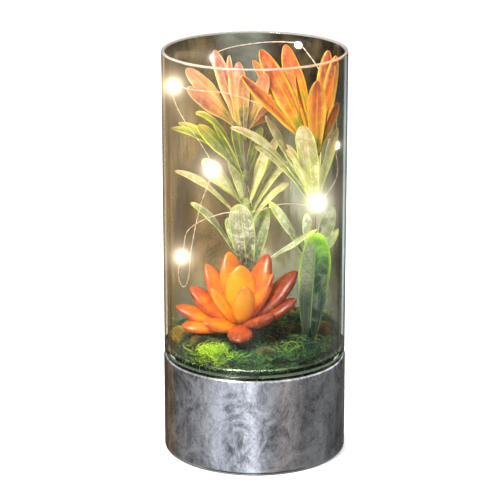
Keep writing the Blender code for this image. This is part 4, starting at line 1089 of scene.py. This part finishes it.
def route_points():
    """Close points along the wire's route, and each bead's place, direction and brightness."""
    spots = [np.array(row[:3], float) * MM for row in WIRE_ROUTE]
    reach = BEAD_LENGTH / 2.0 + BEAD_LEAD
    keys = []
    beads = []
    for index, row in enumerate(WIRE_ROUTE):
        if len(row) == 3:
            keys.append(spots[index])
            continue
        direction = unit(spots[index + 1] - spots[index - 1])
        keys += [spots[index] - direction * reach, spots[index] + direction * reach]
        beads.append((spots[index], direction, row[3]))
    ends = [keys[0] * 2.0 - keys[1]] + keys + [keys[-1] * 2.0 - keys[-2]]
    points = [keys[0]]
    for before, start, end, after in zip(ends, ends[1:], ends[2:], ends[3:]):
        length = np.linalg.norm(end - start)
        pieces = max(2, round(length / WIRE_STEP))
        lead_in = unit(end - before) * length
        lead_out = unit(after - start) * length
        for step in range(1, pieces + 1):
            t = step / pieces
            point = start * (2.0 * t ** 3 - 3.0 * t ** 2 + 1.0) + lead_in * (t ** 3 - 2.0 * t ** 2 + t)
            points.append(point + end * (3.0 * t ** 2 - 2.0 * t ** 3) + lead_out * (t ** 3 - t ** 2))
    return np.array(points), beads


def wire_material():
    """Lacquered copper, pale and bright, with faint dull spots."""
    look = new_look("lacquered_copper")
    cloud = look.noise(500.0, 2.0)
    look.give(Base_Color=cloud.between((0.72, 0.55, 0.42), (0.88, 0.76, 0.64)), Metallic=0.4)
    look.give(Roughness=cloud.spread(0.3, 0.7, 0.22, 0.36))
    return look.material


def bead_material():
    """Lit resin: nearly white at the chip, warmer towards the ends, and dim in mirrors."""
    look = new_look("lit_resin")
    along, shine = look.facts("along", "shine")
    middle = abs(along - 0.5).spread(0.1, 0.5, 1.0, 0.0)
    tone = middle.between((1.0, 0.72, 0.42), (1.0, 0.93, 0.82))
    power = middle.spread(0.0, 1.0, 10.0, 110.0) * shine * look.ray("Glossy").spread(0.0, 1.0, 1.0, 0.01)
    look.give(Base_Color=tone, Roughness=0.12, Emission_Color=tone, Emission_Strength=power)
    return look.material


def make_light_string():
    """The twin wire along its route, and a drop of resin at each bead."""
    points, beads = route_points()
    run = np.concatenate([[0.0], np.cumsum(np.linalg.norm(np.diff(points, axis=0), axis=1))])
    first = unit(tube_rings(points, 1.0, 4)[:, 0] - points)
    second = unit(np.cross(np.gradient(points, axis=0), first))
    turn = (2.0 * np.pi * run / WIRE_PITCH)[:, None]
    offset = (first * np.cos(turn) + second * np.sin(turn)) * (WIRE_APART / 2.0)
    wire = Gathered()
    for sign in (-1.0, 1.0):
        wire.add(tube_rings(points + offset * sign, WIRE_STRAND / 2.0, 6))
    wire.piece("led_wire", "_twin", wire_material())
    material = bead_material()
    shares = eased(22)
    radii = np.maximum(BEAD_RADIUS * 0.92 * round_swell(shares) ** 0.9, 0.35 * MM)
    for index, (spot, direction, shine) in enumerate(beads):
        spine = spot + np.outer((shares - 0.5) * BEAD_LENGTH, direction)
        drop = Gathered()
        drop.add(tube_rings(spine, radii, 20), along=shares[:, None], shine=shine)
        drop.piece("led_bead_%d" % (index + 1), "_lit", material)


def turned(name, profile):
    """Mesh of a closed profile of (radius, height) points turned about Z."""
    ring = circle(2.0 * np.pi * np.arange(ROUND_STEPS) / ROUND_STEPS)
    level = np.broadcast_to(profile[:, 1:], (len(profile), ROUND_STEPS))
    points = raised(ring * profile[:, :1, None], level)
    return build_mesh(name, points.reshape(-1, 3), wall_quads(len(profile), ROUND_STEPS, True))


def smear(look):
    """Smears of the coat, long upward."""
    return look.noise(30.0, 5.0, 0.62, 1.0, (1.0, 1.0, 0.30))


def edge_on(look):
    """How far a wall is turned from the view, from 0 square on to 1 edge on."""
    return look.value("ShaderNodeLayerWeight", {"Blend": 0.5}, "Facing")


def lustre_material(name, tones, shares, mirror_tint, mirror_roughness, haze):
    """Half-mirrored coat on one side of the wall, clear when seen through its back.

    Shares run from a wall seen square on to one seen edge on. Lamps pass the coat
    nearly unhindered, so that they light the plants, and the haze of the coat
    scatters a little of what falls on it: none at the moss, most in the upper half,
    less at the right, which paints shade on that side. The function tones gives the
    colour of what shows through, which is painted reflection and shade.
    """
    look = new_look(name)
    look.give(Metallic=1.0, Roughness=mirror_roughness, Base_Color=mirror_tint)
    smears = smear(look)
    share = edge_on(look).spread(0.25, 0.80, *shares) * smears.spread(0.3, 0.7, 0.7, 1.3)
    # Painted reflection and shade: what shows through the coat takes the colours of tones
    coat = share.choose(look.clear(tones(look)), look.main)
    rising = look.axis(2).spread(78.0 * MM, 150.0 * MM)
    # Less haze at the right, a painted shade on that side
    level = rising * look.axis(0).spread(-30.0 * MM, 30.0 * MM, 1.0, 0.45)
    amount = smears.spread(0.3, 0.7, 0.5 * haze, 1.5 * haze) * level
    veiled = amount.choose(coat, look.value("ShaderNodeBsdfDiffuse", {"Color": HAZE_TONE}))
    two_sided = look.back().choose(veiled, look.clear())
    seen = look.ray("Camera").larger(look.ray("Glossy"))
    look.show(seen.choose(look.clear((0.93, 0.92, 0.90)), two_sided))
    return look.material


def outer_tones(look):
    """The outer coat: nearly clear square on; edge on, painted reflection streaks,
    bronze to the left and blue green to the right.
    """
    facing = edge_on(look)
    # Painted reflection: edge-on streaks and bands, bronze for the left side and blue green for the right
    bronze = facing.ramp((
        (0.00, (0.93, 0.92, 0.86)), (0.40, (0.86, 0.82, 0.70)), (0.58, (0.70, 0.56, 0.36)),
        (0.64, (0.32, 0.21, 0.10)), (0.68, (0.62, 0.48, 0.32)), (0.73, (0.28, 0.19, 0.10)),
        (0.77, (0.56, 0.46, 0.32)), (0.83, (0.12, 0.09, 0.05)),
    ))
    green = facing.ramp((
        (0.00, (0.93, 0.92, 0.88)), (0.40, (0.82, 0.84, 0.76)), (0.58, (0.64, 0.68, 0.58)),
        (0.65, (0.34, 0.38, 0.34)), (0.69, (0.66, 0.72, 0.68)), (0.74, (0.36, 0.44, 0.42)),
        (0.78, (0.52, 0.62, 0.64)), (0.83, (0.07, 0.10, 0.10)),
    ))
    return look.axis(0).spread(-20.0 * MM, 20.0 * MM).between(bronze, green)


def inner_tones(look):
    """The inner coat, painted reflection and shade seen through it: nearly black near the rim,
    cloudy brown below it, grey green to the right.
    """
    cloud = look.noise(15.0, 4.0, 0.55, 0.8, (1.0, 1.0, 0.7))
    brushed = look.noise(34.0, 6.0, 0.75, 0.4, (1.0, 1.0, 0.06))
    smears = smear(look)
    side = look.axis(0)
    height = look.axis(2)
    # Painted reflection and shade: cloudy brown to the left, grey green to the right
    brown = cloud.ramp(((0.38, (0.09, 0.055, 0.02)), (0.48, (0.28, 0.19, 0.08)), (0.58, (0.56, 0.47, 0.27))))
    green = cloud.ramp(((0.38, (0.07, 0.06, 0.03)), (0.50, (0.22, 0.23, 0.15)), (0.60, (0.38, 0.40, 0.30))))
    body = side.spread(-12.0 * MM, 26.0 * MM).between(brown, green)
    # Painted reflection: dark streaks running upward
    body = body.mixed(brushed.spread(0.40, 0.60, 0.0, 0.6), (0.10, 0.075, 0.04), "MULTIPLY")
    # Painted shade: dim low down, nearly black near the rim
    low = smears.between((0.03, 0.045, 0.03), (0.20, 0.20, 0.15))
    dark = smears.spread(0.44, 0.64).between((0.004, 0.004, 0.003), (0.10, 0.075, 0.035))
    # Painted reflection: a grey patch left of the middle, near the rim
    middle = abs(side + 6.0 * MM).spread(6.0 * MM, 20.0 * MM, 0.9, 0.0) * cloud.spread(0.30, 0.50)
    dark = dark.mixed(middle, (0.24, 0.27, 0.22))
    body = height.spread(66.0 * MM, 100.0 * MM).between(low, body)
    return height.spread(184.0 * MM, 196.0 * MM).between(body, dark)


def clear_glass(name, tint, roughness=0.0, clearness=1.0):
    """Tinted clear glass for the rim, the thick heel and the base's foot."""
    look = new_look(name)
    tone = look.noise(60.0, 2.0).between(tint, tuple(0.9 * part for part in tint))
    look.give(Base_Color=tone, Roughness=roughness, Transmission_Weight=clearness, IOR=1.48)
    skip = look.ray("Shadow").larger(look.ray("Diffuse"))
    look.show(skip.choose(look.main, look.clear((0.9, 0.92, 0.9))))
    return look.material


def make_glass():
    """The cylinder: lustre on its walls, clear glass at the rim and the foot."""
    rim = GLASS_WALL / 2.0
    corner_r = GLASS_RADIUS - GLASS_OUTER_ROUND
    corner_z = GLASS_BOTTOM + GLASS_OUTER_ROUND
    inner_corner = INNER_RADIUS - GLASS_INNER_ROUND
    mesh = turned("glass_cylinder", np.concatenate([
        [(WIRE_HOLE_RADIUS, FLOOR_Z)],
        arc(inner_corner, FLOOR_Z + GLASS_INNER_ROUND, GLASS_INNER_ROUND, -90, 0, 12),
        arc(GLASS_RADIUS - rim, GLASS_TOP - rim, rim, 180, 0, 12),
        [(GLASS_RADIUS, HEEL_TOP)],
        arc(corner_r, corner_z, GLASS_OUTER_ROUND, 0, -90, 10),
        [(WIRE_HOLE_RADIUS, GLASS_BOTTOM)],
    ]))
    materials = [
        lustre_material("lustre_outside", outer_tones, (0.03, 0.55), (0.95, 0.86, 0.70), 0.03, 0.016),
        lustre_material("lustre_inside", inner_tones, (0.05, 0.22), (0.66, 0.58, 0.44), 0.16, 0.018),
        clear_glass("clear_rim", (0.88, 0.90, 0.82), 0.10, 0.78),
        clear_glass("green_heel", (0.30, 0.42, 0.22)),
    ]
    new_piece("glass_cylinder", "_fine", mesh, materials)
    for face in mesh.polygons:
        if face.center.z > GLASS_TOP - 1.2 * rim:
            face.material_index = 2
        elif face.center.z < HEEL_TOP:
            face.material_index = 3
        elif math.hypot(face.center.x, face.center.y) < GLASS_RADIUS - rim:
            face.material_index = 1
    mesh.set_sharp_from_angle(angle=SHARP_ANGLE)


def mirror_material():
    """Silvered glass: a bright coat with hairline swirls, and cloudy dark and bright patches that
    are partly the coat's own clouding and partly painted reflection.
    """
    look = new_look("silvered_glass")
    swirl = look.noise(42.0, 8.0, 0.70, 3.2, (1.0, 1.0, 0.8))
    hair = look.noise(200.0, 6.0, 0.7, 4.0, (1.0, 1.0, 0.6))
    value = swirl * 0.5 + hair * 0.3 + look.noise(16.0, 4.0, 0.6, 1.2) * 0.35
    # Dark and bright patches: partly the coat's own clouding, partly painted reflection
    stops = ((0.48, (0.24, 0.24, 0.245)), (0.56, (0.62, 0.62, 0.64)), (0.64, (0.98, 0.98, 1.0)))
    look.give(Base_Color=value.ramp(stops), Roughness=value.spread(0.4, 0.75, 0.07, 0.24))
    look.give(Metallic=1.0, Coat_Weight=0.6, Coat_Roughness=0.02)
    look.bump(value, 0.0002, 0.25)
    return look.material


def make_mirror_base():
    """The silvered cup, with a clear ground edge at its foot."""
    inner = BASE_RADIUS - BASE_WALL
    corner = BASE_RADIUS - BASE_ROUND
    deck = BASE_TOP_Z - BASE_DECK
    profile = np.concatenate([
        [(inner, 0.0), (inner, deck), (WIRE_HOLE_RADIUS, deck), (WIRE_HOLE_RADIUS, BASE_TOP_Z)],
        arc(corner, BASE_TOP_Z - BASE_ROUND, BASE_ROUND, 90, 0, 10),
        [(BASE_RADIUS, BASE_ROUND + 0.6 * MM)],
        arc(corner, BASE_ROUND, BASE_ROUND, 0, -90, 10),
    ])
    mesh = turned("mirror_base", profile[::-1])
    clear = clear_glass("ground_edge", (0.42, 0.52, 0.46))
    new_piece("mirror_base", "_fine", mesh, [mirror_material(), clear])
    for face in mesh.polygons:
        if face.center.z < BASE_ROUND + 0.5 * MM and math.hypot(face.center.x, face.center.y) > inner:
            face.material_index = 1
    mesh.set_sharp_from_angle(angle=SHARP_ANGLE)


def cell_material():
    """Battery cell: a green jacket with a copper-coloured band and bare metal ends."""
    look = new_look("cell_jacket")
    distance = abs(look.axis(1))
    band = distance.spread(CELL_BAND, CELL_BAND + 0.1 * MM)
    end = distance.spread(CELL_END, CELL_END + 0.1 * MM)
    cloud = look.noise(300.0, 2.0)
    tone = cloud.between((0.02, 0.10, 0.05), (0.03, 0.14, 0.07))
    tone = tone.mixed(band, (0.55, 0.30, 0.14)).mixed(end, (0.62, 0.62, 0.60))
    look.give(Base_Color=tone, Metallic=end.larger(band * 0.6), Roughness=cloud.spread(0.3, 0.7, 0.25, 0.4))
    return look.material


def strip_material():
    """Nickelled spring strip with a brushed grain."""
    look = new_look("contact_metal")
    grain = look.noise(900.0, 2.0, 0.5, 0.0, (0.05, 1.0, 1.0))
    look.give(Base_Color=grain.between((0.5, 0.5, 0.48), (0.78, 0.78, 0.75)), Metallic=1.0)
    look.give(Roughness=grain.spread(0.3, 0.7, 0.2, 0.38))
    return look.material


def finish_inner_parts():
    """Materials of the CAD nodes that stay as they are."""
    materials = {
        "black_plastic": plastic("black_plastic", (0.012, 0.012, 0.013), (0.03, 0.03, 0.032), 0.5),
        "grey_plastic": plastic("grey_plastic", (0.05, 0.05, 0.052), (0.09, 0.09, 0.092), 0.5),
        "slider_plastic": plastic("slider_plastic", (0.55, 0.55, 0.55), (0.7, 0.7, 0.69), 0.35),
        "contact_metal": strip_material(),
        "cell_jacket": cell_material(),
    }
    for slot, names in INNER_PARTS.items():
        for name in names:
            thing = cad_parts[name]
            thing.data.materials.clear()
            thing.data.materials.append(materials[slot])


def make_stage():
    """A pale floor that runs up into a backdrop; mirrors, glass and views from below miss it."""
    bend = arc(STAGE_BEND, STAGE_BEND, STAGE_BEND, -90, 0, 16)
    profile = np.concatenate([[(STAGE_FRONT, 0.0)], bend, [(2.0 * STAGE_BEND, STAGE_TOP)]])
    half = STAGE_WIDTH / 2.0
    points = np.concatenate([np.insert(profile, 0, side, axis=1) for side in (-half, half)])
    count = len(profile)
    step = np.arange(count - 1)
    mesh = build_mesh("stage", points, np.stack([step, step + count, step + count + 1, step + 1], axis=-1))
    look = new_look("pale_floor")
    look.give(Roughness=0.9, Base_Color=(0.92, 0.92, 0.92), Specular_IOR_Level=0.0)
    look.give(Emission_Color=(1.0, 1.0, 1.0), Emission_Strength=0.35)
    skip = look.back().larger(look.ray("Glossy")).larger(look.ray("Transmission"))
    look.show(skip.choose(look.main, look.clear()))
    mesh.materials.append(look.material)
    placed("stage", mesh)


def make_world():
    """Studio light: an even grey that lights, white behind the object, and panels in mirrors."""
    world = bpy.data.worlds.new("studio")
    bpy.context.scene.world = world
    look = Look(world, "Background")
    direction = look.value("ShaderNodeTexCoord", None, "Generated")
    bearing = look.axis(0, direction).maths("ARCTAN2", look.axis(1, direction) * -1.0)
    panels = (bearing.maths("DIVIDE", 2.0 * math.pi) + 0.5).ramp(STUDIO_PANELS)
    streak = look.noise(9.0, 4.0, 0.6, 0.0, (1.0, 1.0, 0.0), direction)
    panels = panels.mixed(1.0, streak.spread(0.3, 0.7, 0.7, 1.25).grey(), "MULTIPLY")
    panels = panels.mixed(look.axis(2, direction).spread(0.05, 0.5), (0.9, 0.92, 0.95))
    mirrored = look.ray("Glossy").larger(look.ray("Transmission"))
    plain = look.ray("Camera").between((0.26, 0.26, 0.28), (1.0, 1.0, 1.0))
    look.give(Color=mirrored.between(plain, panels))


def make_lamp(name, spot, aim, size, power, tone):
    """A soft square area lamp."""
    data = bpy.data.lights.new(name, "AREA")
    data.energy = power
    data.size = size
    data.color = tone
    lamp = placed(name, data)
    lamp.visible_glossy = name == "window"
    lamp.location = spot
    direction = np.array(aim) - np.array(spot)
    level = math.hypot(direction[0], direction[1])
    turn = math.atan2(direction[0], -direction[1])
    lamp.rotation_euler = (math.atan2(level, -direction[2]), 0.0, -turn + math.pi)


def make_camera():
    """The photograph's view."""
    data = bpy.data.cameras.new("camera")
    data.lens = CAMERA_LENS
    data.sensor_width = CAMERA_SENSOR
    camera = placed("camera", data)
    camera.location = CAMERA_PLACE
    camera.rotation_euler = (math.radians(90.0 - CAMERA_TILT), 0.0, 0.0)
    bpy.context.scene.camera = camera


def add_glow():
    """A soft halo round the lit beads, as a lens gives."""
    scene = bpy.context.scene
    scene.use_nodes = True
    tree = scene.node_tree
    tree.nodes.clear()
    image = node(tree, "CompositorNodeRLayers", None, "Image")
    for kind, strength, size in GLOWS:
        sockets = {"Image": image, "Threshold": GLOW_FROM, "Strength": strength, "Size": size}
        image = node(tree, "CompositorNodeGlare", sockets, "Image", glare_type=kind, quality="HIGH")
    connect(tree.nodes.new("CompositorNodeComposite").inputs["Image"], image)


def main():
    """Build the looks round the frame."""
    make_camera()
    make_stage()
    make_world()
    for name, settings in LAMPS.items():
        make_lamp(name, *settings)
    make_mirror_base()
    make_glass()
    make_moss_bed()
    make_clumps()
    make_stems()
    looks = {name: leaf_material(name) for name in LEAF_LOOKS}
    for name, stem, height, below, leaves, slot, look in WHORLS:
        make_whorl(name, stem, height, below, leaves, looks[look])
    make_dark_leaf()
    make_succulent()
    make_light_string()
    finish_inner_parts()
    add_glow()
    bpy.context.scene.view_settings.view_transform = "Standard"


main()
